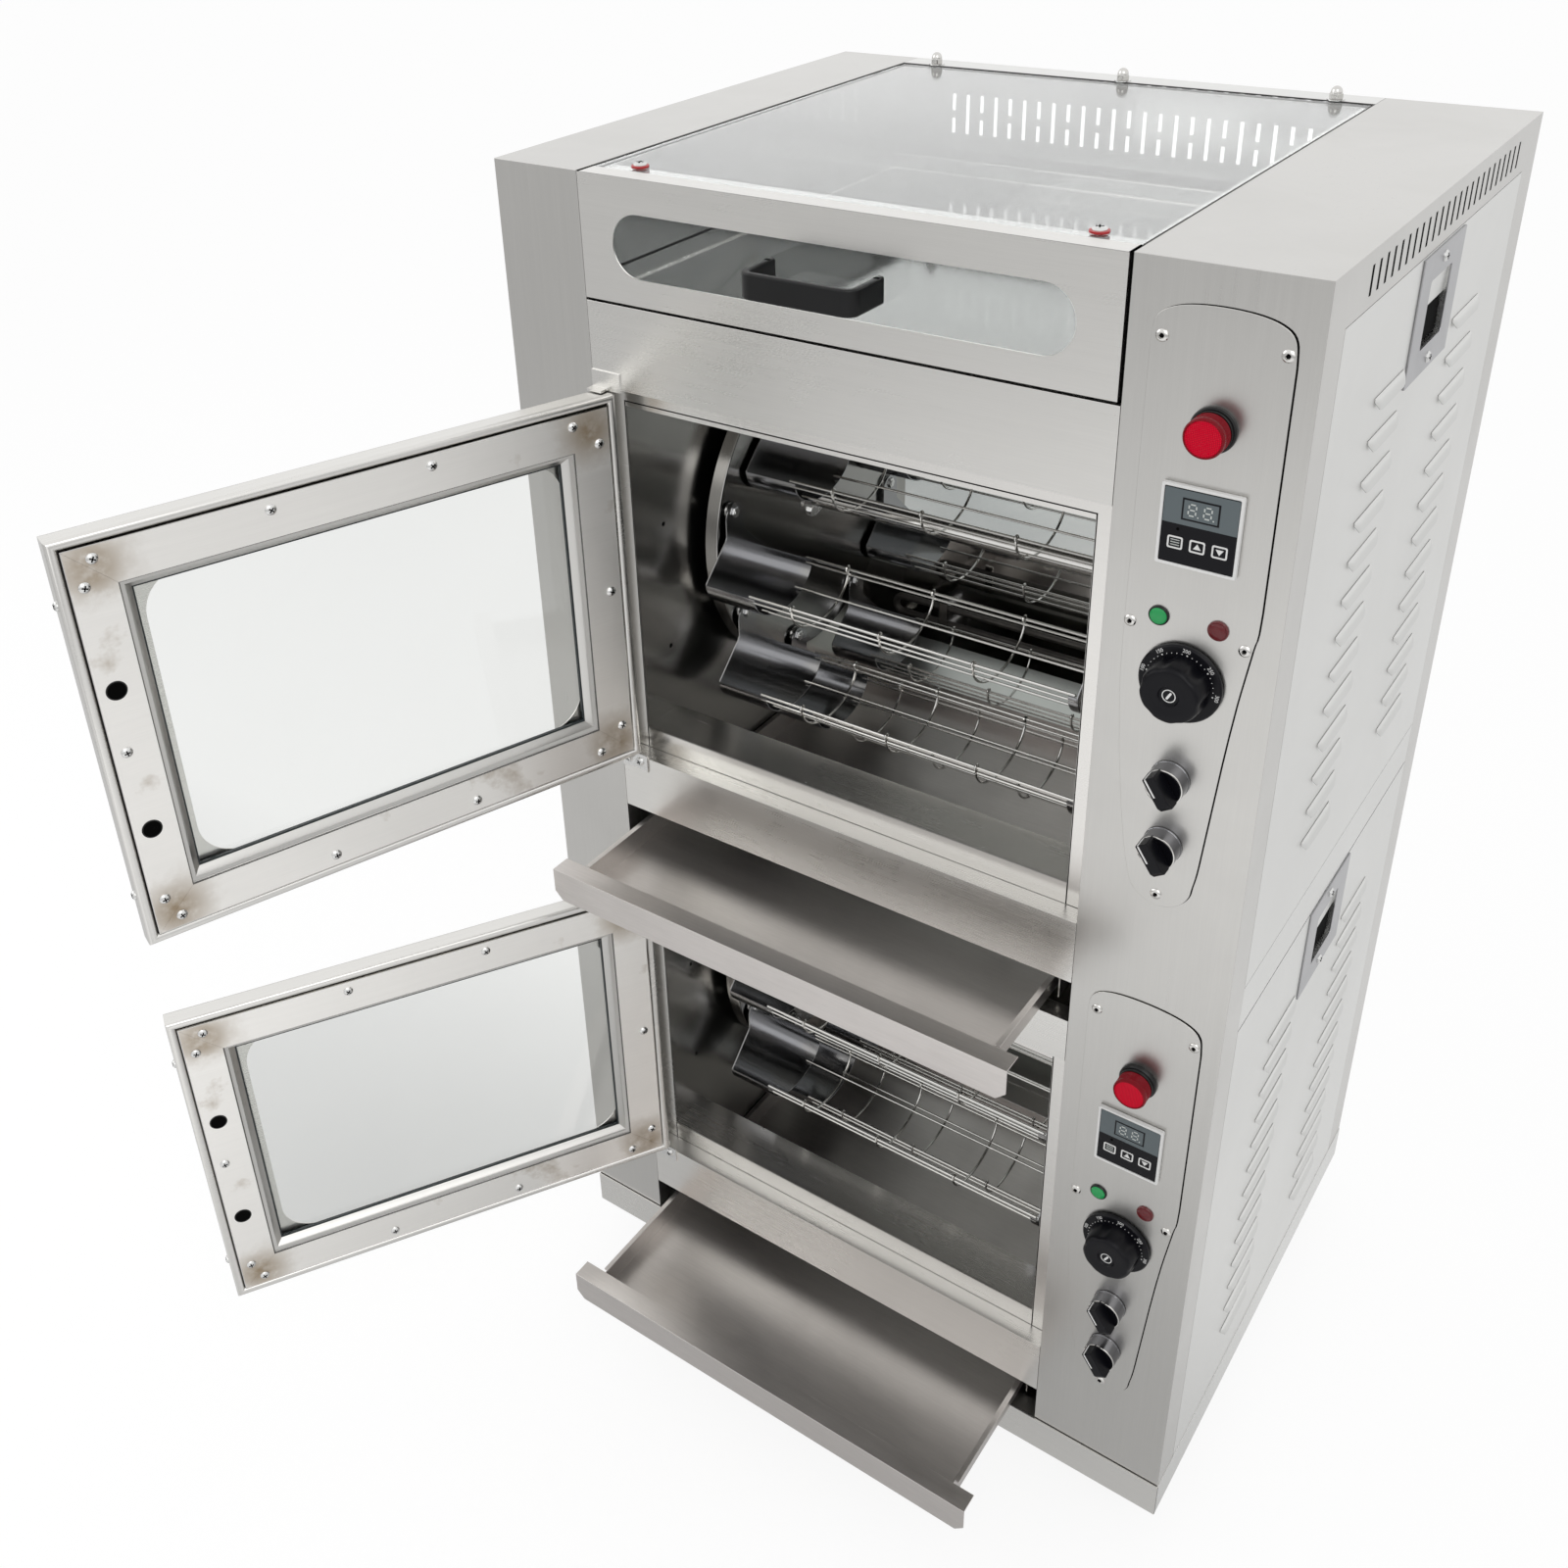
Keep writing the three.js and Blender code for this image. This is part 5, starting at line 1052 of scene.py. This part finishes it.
# Rounds a closed outline with a curve through its points
def smooth(points, steps=5):
    made = []
    for i in range(len(points)):
        a, b, c, d = (Vector(points[(i + k) % len(points)]) for k in (-1, 0, 1, 2))
        for t in (k / steps for k in range(steps)):
            bent = 2 * b + (c - a) * t + (2 * a - 5 * b + 4 * c - d) * t * t
            made.append(tuple(0.5 * (bent + (3 * b - a - 3 * c + d) * t ** 3)))
    return made


# Plain numbers of the dial as a solid
def textPart(words, size, depth):
    curve = bpy.data.curves.new("digits", "FONT")
    curve.body, curve.size, curve.extrude = words, size, depth
    curve.align_x, curve.align_y = "CENTER", "CENTER"
    curve.resolution_u = 3
    holder = bpy.data.objects.new("digits", curve)
    bpy.context.scene.collection.objects.link(holder)
    bpy.context.view_layer.update()
    part = bmesh.new()
    part.from_mesh(bpy.data.meshes.new_from_object(holder))
    bmesh.ops.remove_doubles(part, verts=part.verts, dist=0.0005)
    bpy.data.objects.remove(holder)
    bpy.data.curves.remove(curve)
    return part


faceOut = Matrix(((1, 0, 0, 0), (0, 0, -1, 0), (0, 1, 0, 0), (0, 0, 0, 1)))


# Adds to a piece on a plane that faces the front: x across, y up, z towards the viewer
def facing(piece, x, z, y):
    def add(part, finish, spin=0.0):
        piece.take(part, finish, Matrix.Translation(spot(x, y, z)) @ faceOut @ Matrix.Rotation(spin, 4, "Z"))

    return add


# The power lamp's ribbed cap round its lens
def addLamp(add):
    r, h = lamp["radius"], lamp["reach"]
    pitch, groove, crest, dip = lamp["rib"]
    cap = [(r - 0.6, lamp["capFoot"])]
    for k in range(lamp["ribs"]):
        z = lamp["capFoot"] + 0.6 + pitch * k
        cap += [(r - crest, z), (r - dip, z + groove)]
    cap += [(r, lamp["collar"]), (r, h - 1.6), (r - 0.6, h - 0.5), (r - 1.5, h), (r - 1.9, h - 0.6)]
    add(turned(lamp["ring"], 48), satinBlack)
    add(turned([*cap, (r - 1.9, lamp["capFoot"])], 56, looped=True), deepRedLens)
    add(turned(lamp["disc"], 56), redLens)


def makeControlPanel(deck):
    piece, y = Piece(f"{deck}_control_plate"), control["face"]
    drop = 0 if deck == "upper" else control["pitch"]
    arc = circle(control["foot"]["at"], control["foot"]["radius"], 12, math.radians(190), math.radians(170))
    outline = [(b, a) for a, b in smooth([*control["left"], *arc, *control["right"]], 4)]
    back = y + control["thick"]
    piece.put(pressed("y", [shift(outline, -drop)], (y, back), 0.35, 3), postSteel)
    # A black plate offset behind the panel: painted shadow along its right and top edges
    across, up = control["shadowGap"]
    piece.put(pressed("y", [shift(outline, up - drop, across)], (back, -0.06), 0), blackAndPaintedShade)
    # Screws with black sockets: painted shade in the recess
    for x, z in control["screws"]:
        add = facing(piece, x, z - drop, y)
        add(turned(control["screwHead"], 28), brightSteel)
        add(turned(control["screwSocket"], 6), blackAndPaintedShade)
    lampX, lampZ = lamp["at"]
    addLamp(facing(piece, lampX, lampZ - drop, y))
    for (x, z), rim, finish in zip(pilot["at"], (satinBlack, darkRedLens), (greenLens, darkRedLens)):
        add = facing(piece, x, z - drop, y)
        add(turned(pilot["bezel"], 32), rim)
        add(turned(pilot["dome"], 32), finish)
    for x, z, (radius, reach) in ((*lamp["at"], lamp["stem"]), *((*at, pilot["stem"]) for at in pilot["at"])):
        stem = [(radius, 0.4), (radius, 1 - reach), (radius - 1, -reach), (0, -reach)]
        facing(piece, x, z - drop, 0)(turned(stem, 20), satinBlack)
    for x, z, (wide, high, deep) in ((*dial["at"], dial["box"]),
                                     *((*at, selector["box"]) for at in selector["at"])):
        piece.put(plate(centred(x, wide / 2), (-0.5, deep), centred(z - drop, high / 2), 0.8), satinBlack)
    piece.done("cabinet", [f"{deck}_control_panel"], "panel_steel")
    makeTimer(deck, drop)
    makeDial(deck, drop)
    for i, (x, z) in enumerate(selector["at"]):
        makeSelector(f"{deck}_selector_{i + 1}", x, z - drop)


def addDigit(add, middle):
    digits = timer["digits"]
    for x0, x1, z0, z1 in timer["segments"]:
        a, b, c, d = (share * digits["half"][i > 1] for i, share in enumerate((x0, x1, z0, z1)))
        lean = middle + (c + d) / 2 * digits["lean"]
        trimX, trimZ = (digits["trim"], -digits["stroke"]) if z0 == z1 else (-digits["stroke"],
                                                                             digits["trim"])
        add(plate((a + trimX + lean, b - trimX + lean), (digits["z"] + c + trimZ, digits["z"] + d - trimZ),
                  digits["out"], 0), digitPale)
    add(turned(digits["dot"], 8, centre=(middle + digits["dotAt"][0], digits["dotAt"][1], 0)), digitPale)


def addKey(add, k):
    keys = timer["keys"]
    middle, (wide, foot, tip) = k * keys["pitch"], keys["arrow"]
    loops = [roundedLoop(centred(middle, half), z, corner, 3)
             for half, z, corner in zip(keys["half"], keys["z"], keys["corner"])]
    add(pressed("z", loops, keys["out"], 0.1), markWhite)
    if k < 0:
        for line in keys["lines"]:
            add(plate(centred(middle, keys["line"][0]), centred(line, keys["line"][1]), keys["markOut"], 0),
                digitPale)
        return
    up = 1 if k == 0 else -1
    low = keys["arrowZ"] - foot * up
    mark = [(middle - wide, low), (middle + wide, low), (middle, keys["arrowZ"] + tip * up)]
    add(pressed("z", [mark], keys["markOut"], 0), markWhite)


def makeTimer(deck, drop):
    piece = Piece(f"{deck}_timer_fine")
    x, z, y = timer["at"][0], timer["at"][1] - drop, control["face"] - timer["off"]
    wide, high = (size / 2 for size in timer["size"])
    add = facing(piece, x, z, y)
    loops = [roundedLoop(centred(0, wide - trim), centred(0, high - trim), corner, 4)
             for trim, corner in ((0, 1.4), (timer["rim"], 1))]
    add(pressed("z", loops, (0, timer["proud"]), 0.5, 3), markWhite)
    for finish, *box in timer["layers"]:
        add(plate(*box), finish)
    for middle in timer["digits"]["x"]:
        addDigit(add, middle)
    for k in (-1, 0, 1):
        addKey(add, k)
    add(turned(timer["sensor"], 12, centre=(*timer["sensorAt"], 0)), blackAndPaintedShade)
    trim, deep = timer["body"]
    piece.put(plate(centred(x, wide - trim), (y - 1, deep), centred(z, high - trim), 0.8), satinBlack)
    piece.done("cabinet", [f"{deck}_timer"], "black_plastic")


def makeDial(deck, drop):
    piece, height = Piece(f"{deck}_dial"), dial["height"]
    add = facing(piece, dial["at"][0], dial["at"][1] - drop, control["face"] - dial["off"])
    add(turned(dial["skirt"], 72), dialBlack)
    add(scallopedGrip(), dialBlack)
    add(turned(dial["stem"], 20), zincSteel)
    add(turned(dial["crownRing"], 32, looped=True), markWhite)
    wide, long, corner = dial["crownSlot"]
    slot = roundedLoop(centred(0, wide), centred(0, long), corner, 4)
    add(pressed("z", [slot], (height - 2.2, height - 1.75), 0), markWhite, -0.5)
    for number, angle in dial["numbers"]:
        part = textPart(str(number), *dial["number"])
        place = Matrix.Translation((*around(dial["numberAt"][0], 90 - angle), dial["numberAt"][1]))
        part.transform(place @ Matrix.Rotation(-math.radians(angle), 4, "Z"))
        add(part, markWhite)
    dots = dial["dots"]
    for k in range(dots["count"]):
        radius = dots["radii"][k % 5 == 0]
        centre = (*around(dots["circle"], 90 - (dots["first"] + dots["step"] * k)), 0)
        add(turned([(radius, 4.8), (radius, 5.12), (0, 5.12)], 10, centre=centre), markWhite)
    piece.done(f"{deck}_thermostat", [f"{deck}_thermostat_knob"], "black_plastic")


# Grip with shallow finger scallops that fade towards its crown:
# levels of (radius share, height, scallop share)
def scallopedGrip(sides=96):
    part, rings = bmesh.new(), []
    for share, z, dent in dial["levels"]:
        ring = []
        for a in (2 * math.pi * i / sides for i in range(sides if share else 1)):
            wave = max(0.0, math.cos(dial["scallops"] * a + dial["scallopTurn"])) ** 1.5
            r = dial["grip"] * share - dial["scallopDepth"] * dent * wave
            ring.append(part.verts.new((r * math.cos(a), r * math.sin(a), z)))
        rings.append(ring)
    joinRings(part, rings, sides)
    part.faces.new(rings[0])
    return part


def makeSelector(name, x, z):
    piece, lean = Piece(f"{name}_fine"), math.radians(selector["turn"])
    add = facing(piece, x, z, control["face"] - dial["off"])
    h, reach, half, long = selector["proud"], selector["reach"], selector["width"] / 2, selector["length"] / 2
    add(turned(selector["bezel"], 64), darkChrome)
    add(turned(selector["rim"], 64, looped=True), brightSteel)
    add(turned(selector["bowl"], 48), dialBlack)
    cut, foot = selector["chamfer"], h - 2.5
    side = [(2 - long, foot), (-long, h + 1), (-long, reach - cut * 0.7), (cut - long, reach), (long, reach),
            (long, foot)]
    add(pressed("x", [side], (-half, half), 0.9, 3), dialBlack, lean)
    line, end = centred(selector["line"] - half, selector["lineHalf"]), long - 0.6
    add(plate(line, (-1.5, end), (reach - 0.3, reach + 0.06), 0), markWhite, lean)
    add(plate(line, (end, long + 0.06), (h + 0.6, reach - 0.3), 0), markWhite, lean)
    add(turned(selector["stem"], 28), satinBlack)
    piece.done(name, [name], "switch_lever")


for deck in decks:
    makeControlPanel(deck)
print("stage: controls")


# Drawer with its slotted front. Loops in the plane of the front read (z, x)
drawer = {
    "x": (92.2, 566.8), "front": -2, "cover": 18.6, "z": (1131.7, 1235.7), "slotX": (125, 533),
    "slotZ": (1154.5, 1207.5),
    "gap": {"x": (90.4, 568.6), "z": 1129.9, "y": (1.5, 4), "lap": 0.3, "top": 0.6},
    "tray": {"x": (94.5, 564.5), "y": (17.6, 496), "z": (1130.2, 1146), "crease": 1.5, "hem": 0.8},
    "handle": {"x": 329, "z": 1181, "span": 102, "reach": 43, "width": 21, "bar": 6, "bend": 9, "in": 6,
               "pocket": ((2.4, -0.5), (2.4, 0.04), (0, 0.04))},
}


def makeDrawer():
    piece, t, y, x, z = Piece("drawer_face"), cabinet["sheet"], drawer["front"], drawer["x"], drawer["z"]
    slot = roundedLoop(drawer["slotZ"], drawer["slotX"], (drawer["slotZ"][1] - drawer["slotZ"][0]) / 2 - 0.01,
                       14)
    piece.put(pressed("y", [square(z, x), slot], (y, y + t), 0.35), frontSteel)
    for flangeX, flangeZ in (((x[0], x[0] + t), z), ((x[1] - t, x[1]), z), (x, (z[0], z[0] + t)),
                             (x, (z[1] - t, z[1]))):
        piece.put(plate(flangeX, (y + 0.3, drawer["cover"]), flangeZ, 0.3), frontSteel)
    # Black strips behind the gaps round the front: painted shade between front and frame
    gap = drawer["gap"]
    (left, right), low, lap, high = gap["x"], gap["z"], gap["lap"], z[1] - gap["top"]
    for darkX, darkZ in (((left, x[0] + lap), (low, high)), ((x[1] - lap, right), (low, high)),
                         ((left, right), (low, z[0] + lap))):
        piece.put(plate(darkX, gap["y"], darkZ, 0), blackAndPaintedShade)
    addPan(piece, t)
    piece.done("drawer", ["drawer_front"], "brushed_steel")
    piece, handle, foot = Piece("drawer_pull"), drawer["handle"], y + t + 0.3
    stand = Matrix.Translation(spot(handle["x"], 0, handle["z"]))
    piece.take(strapHandle(handle, False, foot), satinBlack, stand)
    # Black discs at the handle's feet: painted shade in the pockets
    for end in centred(0, (handle["span"] - handle["bar"]) / 2):
        piece.take(turned(handle["pocket"], 16, centre=(end, foot - handle["in"], handle["width"] / 2)),
                   blackAndPaintedShade, stand)
    piece.done("drawer", ["drawer_handle"], "black_plastic")


# The pan behind the front; its folds where the walls rise from the floor, and its hem, are painted bright: a
# painted highlight
def addPan(piece, t):
    pan = drawer["tray"]
    x, y, z, fold, hem = (pan[key] for key in ("x", "y", "z", "crease", "hem"))
    back, inner = y[1] - t, (x[0] + t, x[1] - t)
    for wallX, wallY, wallZ in ((x, y, (z[0], z[0] + t)), ((x[0], inner[0]), y, z), ((inner[1], x[1]), y, z),
                                (x, (back, y[1]), z)):
        piece.put(plate(wallX, wallY, wallZ, 0.3), wellSteel)
    creases = [(inner, (back - fold, back + 0.1)), ((inner[0], inner[0] + fold), y),
               ((inner[1] - fold, inner[1]), y)]
    for foldX, foldY in creases:
        piece.put(plate(foldX, (foldY[0], foldY[1] - 0.2), (z[0] + t - 0.1, z[0] + t + fold * 0.8), 0.4),
                  lipAndHighlightSteel)
    piece.put(plate(x, (back - hem, y[1] + hem), (z[1] - hem, z[1] + 0.3), 0.3), lipAndHighlightSteel)


# Rail folded round the foot of the cabinet, a little proud of the columns. Its bright hem is a painted
# highlight, the black strip above it painted shade
baseRail = {
    "z": (0.4, 42.5), "proud": 1.6, "side": 0.8, "back": 549.5, "seam": 0.8, "hem": 1.1, "hemProud": 0.3,
    "off": 0.05, "sideStart": 0.2, "seamIn": 0.3, "seamY": (-0.5, 0),
}


def makeBaseRail():
    piece, wide, z = Piece("base_rail"), cabinet["width"], baseRail["z"]
    proud, side, off, top = baseRail["proud"], baseRail["side"], baseRail["off"], z[1] + 0.1
    across = (-side, wide + side)
    piece.put(plate(across, (-proud, -off), z, 0.5), frontSteel)
    # The hem in the brighter steel: a painted highlight on the rail's top edge
    piece.put(plate(across, (-proud - baseRail["hemProud"], -0.1), (z[1] - baseRail["hem"], top), 0.4),
              lipAndHighlightSteel)
    for x in ((-side, -off), (wide + off, wide + side)):
        piece.put(plate(x, (baseRail["sideStart"] - proud, baseRail["back"]), z, 0.25), sideSteel)
    # A black strip along the top of the rail: painted shade in the joint
    seamX = (baseRail["seamIn"], wide - baseRail["seamIn"])
    piece.put(plate(seamX, baseRail["seamY"], (top, z[1] + baseRail["seam"]), 0), gasketAndPaintedShadeBlack)
    piece.done("cabinet", (), "brushed_steel")


# Acorn nuts, seal and screws that hold the glass top. Profiles are in (radius, height above the glass)
fixing = {
    "nuts": {"pitch": 203, "y": 524, "washer": ((0, 0), (8, 0), (8, 1), (0, 1)), "dome": (5.2, 7, 6),
             "hex": ((0, 1), (5.8, 1), (6.2, 1.5), (6.2, 5.6), (5.6, 6.2), (0, 6.2))},
    "seal": {"sides": ((90.2, 92), (567, 568.8)), "y": (19.4, 517.9, 519.6), "z": (1234.4, 1235.85)},
    "screws": {"x": (129, 529), "y": 34.5, "z": 1235.3,
               "washer": ((0, 0), (7.2, 0), (7.4, 0.5), (7.2, 1.6), (0, 1.6))},
}


def makeTopFixings():
    piece, nuts = Piece("glass_fixings"), fixing["nuts"]
    radius, domeZ, foot = nuts["dome"]
    dome = [(radius, foot)] + circle((0, domeZ), radius, 8, 0, math.pi / 2)
    for k in (-1, 0, 1):
        centre = (bay["centre"] + nuts["pitch"] * k, nuts["y"], cabinet["height"])
        for profile, sides, finish in ((nuts["washer"], 28, zincSteel), (nuts["hex"], 6, brightSteel),
                                       (dome, 28, brightSteel)):
            piece.put(turned(profile, sides, "z", centre), finish)
    piece.done("cabinet", (), "brushed_steel")
    piece, seal = Piece("glass_seal"), fixing["seal"]
    (left, right), (front, inner, back) = seal["sides"], seal["y"]
    for x, y in ((left, (front, back)), (right, (front, back)), ((left[0], right[1]), (inner, back))):
        piece.put(plate(x, y, seal["z"], 0), gasketAndPaintedShadeBlack)
    piece.done("cabinet", (), "black_plastic")
    piece, screws = Piece("glass_screws"), fixing["screws"]
    for x in screws["x"]:
        piece.put(turned(screws["washer"], 32, "z", (x, screws["y"], screws["z"])), redWasher)
        addScrew(piece, (x, screws["y"], screws["z"] + 1.6), (0, 0, 1), 5.6, 2.8, origin=spot(0, 0, 0))
    piece.done("cabinet", (), "brushed_steel")


makeBaseRail()
makeDrawer()
makeTopFixings()
for deck in decks:
    carry(f"{deck}_tray", panSteel)
print("stage: drawer and trays")


# Rear sheet: air slots behind the display well, seen through the well's own, and the cable gland
rear = {
    "x": (1.5, 698.5), "y": (548.8, 550), "z": (0, 1234.5), "stripX": (90.3, 568.7),
    "strips": (((519.8, 550), (1234.8, 1236), 0.25), ((548.8, 550), (1233.6, 1235.4), 0.2)),
    "slots": {"count": 24, "first": 134.7, "pitch": 16.17, "half": 2.6, "z": (1159, 1200.5)},
    "gland": {"at": (600, 120), "hex": ((5, -0.6), (10, -0.6), (10, 4.6), (9.3, 5.4), (5, 5.4)),
              "cap": ((5, 5), (8.4, 5), (8.4, 11), (7.6, 12.8), (6, 13.9), (5, 13.9))},
}


def makeRear():
    piece, slots, gland = Piece("rear_sheet"), rear["slots"], rear["gland"]
    loops = [square(rear["z"], rear["x"])]
    for i in range(slots["count"]):
        across = centred(slots["first"] + slots["pitch"] * i, slots["half"])
        loops.append(roundedLoop(slots["z"], across, slots["half"] - 0.01, 4))
    piece.put(pressed("y", loops, rear["y"], 0.15), sideSteel)
    for strip in rear["strips"]:
        piece.put(plate(rear["stripX"], *strip), sideSteel)
    centre = (gland["at"][0], rear["y"][1], gland["at"][1])
    for key, sides in (("hex", 6), ("cap", 28)):
        piece.put(turned(gland[key], sides, "y", centre, True), satinBlack)
    piece.done("cabinet", ["rear_panel"], "panel_steel")


makeRear()


# Casters. Wheel profiles are in (radius, distance from the wheel's middle), fork profiles in (radius, height)
castor = {
    "x": {"left": 52, "right": 648}, "front": 56, "rear": 494, "trail": 18, "z": -43, "half": 10, "top": -1.3,
    "tread": ((16, -8.8), (22.6, -10), (24.3, -8.8), (25, -6), (25, 6), (24.3, 8.8), (22.6, 10), (16, 8.8)),
    "disc": ((4.3, -9.6), (11, -9.6), (12, -7.6), (16.3, -7.2), (16.3, 7.2), (12, 7.6), (11, 9.6),
             (4.3, 9.6)),
    "race": ((0, -4), (22, -4), (22.5, -3), (21, -0.6), (17, 0), (0, 0)),
    "pin": ((0, -7), (7, -7), (7, -4), (5, -4), (5, 3), (0, 3)),
    "cheek": {"gap": 1, "thick": 2, "radius": 11, "start": 200, "sweep": 140, "top": 3, "y": (-15, 18)},
    "axle": ((0, -14.6), (5.6, -14.6), (6, -14), (6, -13), (4, -13), (4, 13), (6, 13), (6, 14), (5.6, 14.6),
             (0, 14.6)),
}


def makeWheel(name, x, y):
    piece = Piece(f"{name}_fine")
    for key, sides, finish in (("tread", 48, tyreBlack), ("disc", 40, gasketAndPaintedShadeBlack)):
        piece.take(turned(castor[key], sides, "x", looped=True), finish)
    piece.done(name, [name], "wheel_tread", Matrix.Translation(spot(x, y, castor["z"])))


def makeFork(name, x):
    piece, y, cheek = Piece(f"{name}_fork_fine"), castor["front"], castor["cheek"]
    for key, sides in (("race", 40), ("pin", 24)):
        piece.put(turned(castor[key], sides, "z", (x, y, castor["top"])), zincSteel)
    low = circle((y + castor["trail"], castor["z"]), cheek["radius"], 10, math.radians(cheek["start"]),
                 math.radians(cheek["sweep"]))
    top = castor["top"] - cheek["top"]
    shape = [(y + cheek["y"][0], top), *low, (y + cheek["y"][1], top)]
    inner = castor["half"] + cheek["gap"]
    for side in (-1, 1):
        span = sorted((x + side * inner, x + side * (inner + cheek["thick"])))
        piece.put(pressed("x", [shape], span, 0.4), zincSteel)
    piece.put(turned(castor["axle"], 24, "x", (x, y + castor["trail"], castor["z"])), zincSteel)
    piece.done(name, [f"{name}_fork"], "brushed_steel")


for side, x in castor["x"].items():
    makeFork(f"front_{side}_caster", x)
    makeWheel(f"front_{side}_wheel", x, castor["front"] + castor["trail"])
    makeWheel(f"rear_{side}_wheel", x, castor["rear"])
print("stage: casters")


# Small screws and the lower hinge plates on the sheets
sheetScrews = {
    "front": ((98, 672), (112, 672), (98, 144), (112, 144)), "frontY": -1.6, "back": (20, 350, 680),
    "backZ": (20, 320, 620, 920, 1215),
    "hinge": {"z": (663.8, 135.6), "x": (91.5, 121), "y": (-1.7, -0.1), "high": 17},
}


def makeSheetScrews():
    piece, hinge, corner = Piece("sheet_screws"), sheetScrews["hinge"], spot(0, 0, 0)
    for low in hinge["z"]:
        outline = roundedLoop((low, low + hinge["high"]), hinge["x"], 2.5, 4)
        piece.put(pressed("y", [outline], hinge["y"], 0.3), zincSteel)
    for x, z in sheetScrews["front"]:
        addScrew(piece, (x, sheetScrews["frontY"], z), (0, -1, 0), 4.6, 2.2, x, corner)
    for x in sheetScrews["back"]:
        for z in sheetScrews["backZ"]:
            addScrew(piece, (x, cabinet["depth"], z), (0, 1, 0), 4.2, 2.4, x + z, corner)
    piece.done("cabinet", (), "brushed_steel")


makeSheetScrews()


# Studio floor and world. The floor glows white to the camera and keeps a soft shadow under the cabinet
def makeFloor():
    edge, level = studio["floorEdge"], studio["floor"]
    data = bpy.data.meshes.new("floor")
    data.from_pydata([(x, y, level) for x, y in square((-edge, edge), (-edge, edge))], [], [(0, 1, 2, 3)])
    floor = bpy.data.objects.new("floor", data)
    bpy.context.scene.collection.objects.link(floor)
    material, tree, feed = newMaterial("paleFloor")
    feed(Base_Color=studio["floorGrey"], Roughness=studio["floorRough"])
    rays = addNode(tree, "ShaderNodeLightPath").outputs
    point = addNode(tree, "ShaderNodeNewGeometry").outputs["Position"]
    # In the steel's reflections the floor carries a painted pool of light, painted shade near the cabinet and
    # painted shade towards the front
    pool, contact = studio["pool"], studio["contact"]
    away = vectorNode(tree, "DISTANCE", point, pool["at"], "Value")
    lit = ramp(tree, away, 0.0, pool["reach"], "SMOOTHSTEP", To_Min=pool["bright"], To_Max=pool["dim"])
    close = vectorNode(tree, "DISTANCE", point, (0, 0, level), "Value")
    shade = ramp(tree, close, contact["near"], contact["far"], To_Min=contact["shade"], To_Max=1.0)
    front = ramp(tree, addNode(tree, "ShaderNodeSeparateXYZ", {}, Vector=point).outputs["Y"],
                 *studio["frontShade"])
    graded = addNode(tree, "ShaderNodeMix", {}, Factor=front, i2=1.0, i3=times(tree, lit, shade)).outputs[0]
    strength = addNode(tree, "ShaderNodeMix", {}, Factor=rays["Is Glossy Ray"], i2=studio["floorGlow"],
                       i3=graded)
    glow = addNode(tree, "ShaderNodeEmission", {}, Color=studio["white"],
                   Strength=strength.outputs[0]).outputs[0]
    seen = mathNode(tree, "MAXIMUM", rays["Is Camera Ray"], rays["Is Glossy Ray"])
    seen = mathNode(tree, "MAXIMUM", seen, rays["Is Transmission Ray"])
    plain = tree.nodes["Principled BSDF"].outputs[0]
    blend = addNode(tree, "ShaderNodeMixShader", {}, i0=times(tree, seen, studio["floorWhite"]), i1=plain,
                    i2=glow)
    tree.links.new(blend.outputs[0], tree.nodes["Material Output"].inputs["Surface"])
    data.materials.append(material)


# The world is white to the camera, and brighter in the steel's reflections than in its diffuse light
def makeWorld():
    world = bpy.data.worlds.new("studio")
    bpy.context.scene.world = world
    world.use_nodes = True
    tree = world.node_tree
    rays = addNode(tree, "ShaderNodeLightPath").outputs
    seen = mathNode(tree, "MAXIMUM", rays["Is Camera Ray"], rays["Is Transmission Ray"])
    gloss = times(tree, rays["Is Glossy Ray"], studio["gloss"])
    other = mathNode(tree, "SUBTRACT", 1.0, mathNode(tree, "MAXIMUM", seen, rays["Is Glossy Ray"]))
    strength = plus(tree, plus(tree, seen, gloss), times(tree, other, studio["sky"]))
    background = tree.nodes["Background"].inputs
    background["Color"].default_value = studio["white"]
    tree.links.new(strength, background["Strength"])


makeFloor()
makeWorld()
bpy.context.scene.view_settings.view_transform = "Standard"
print("stage: studio")
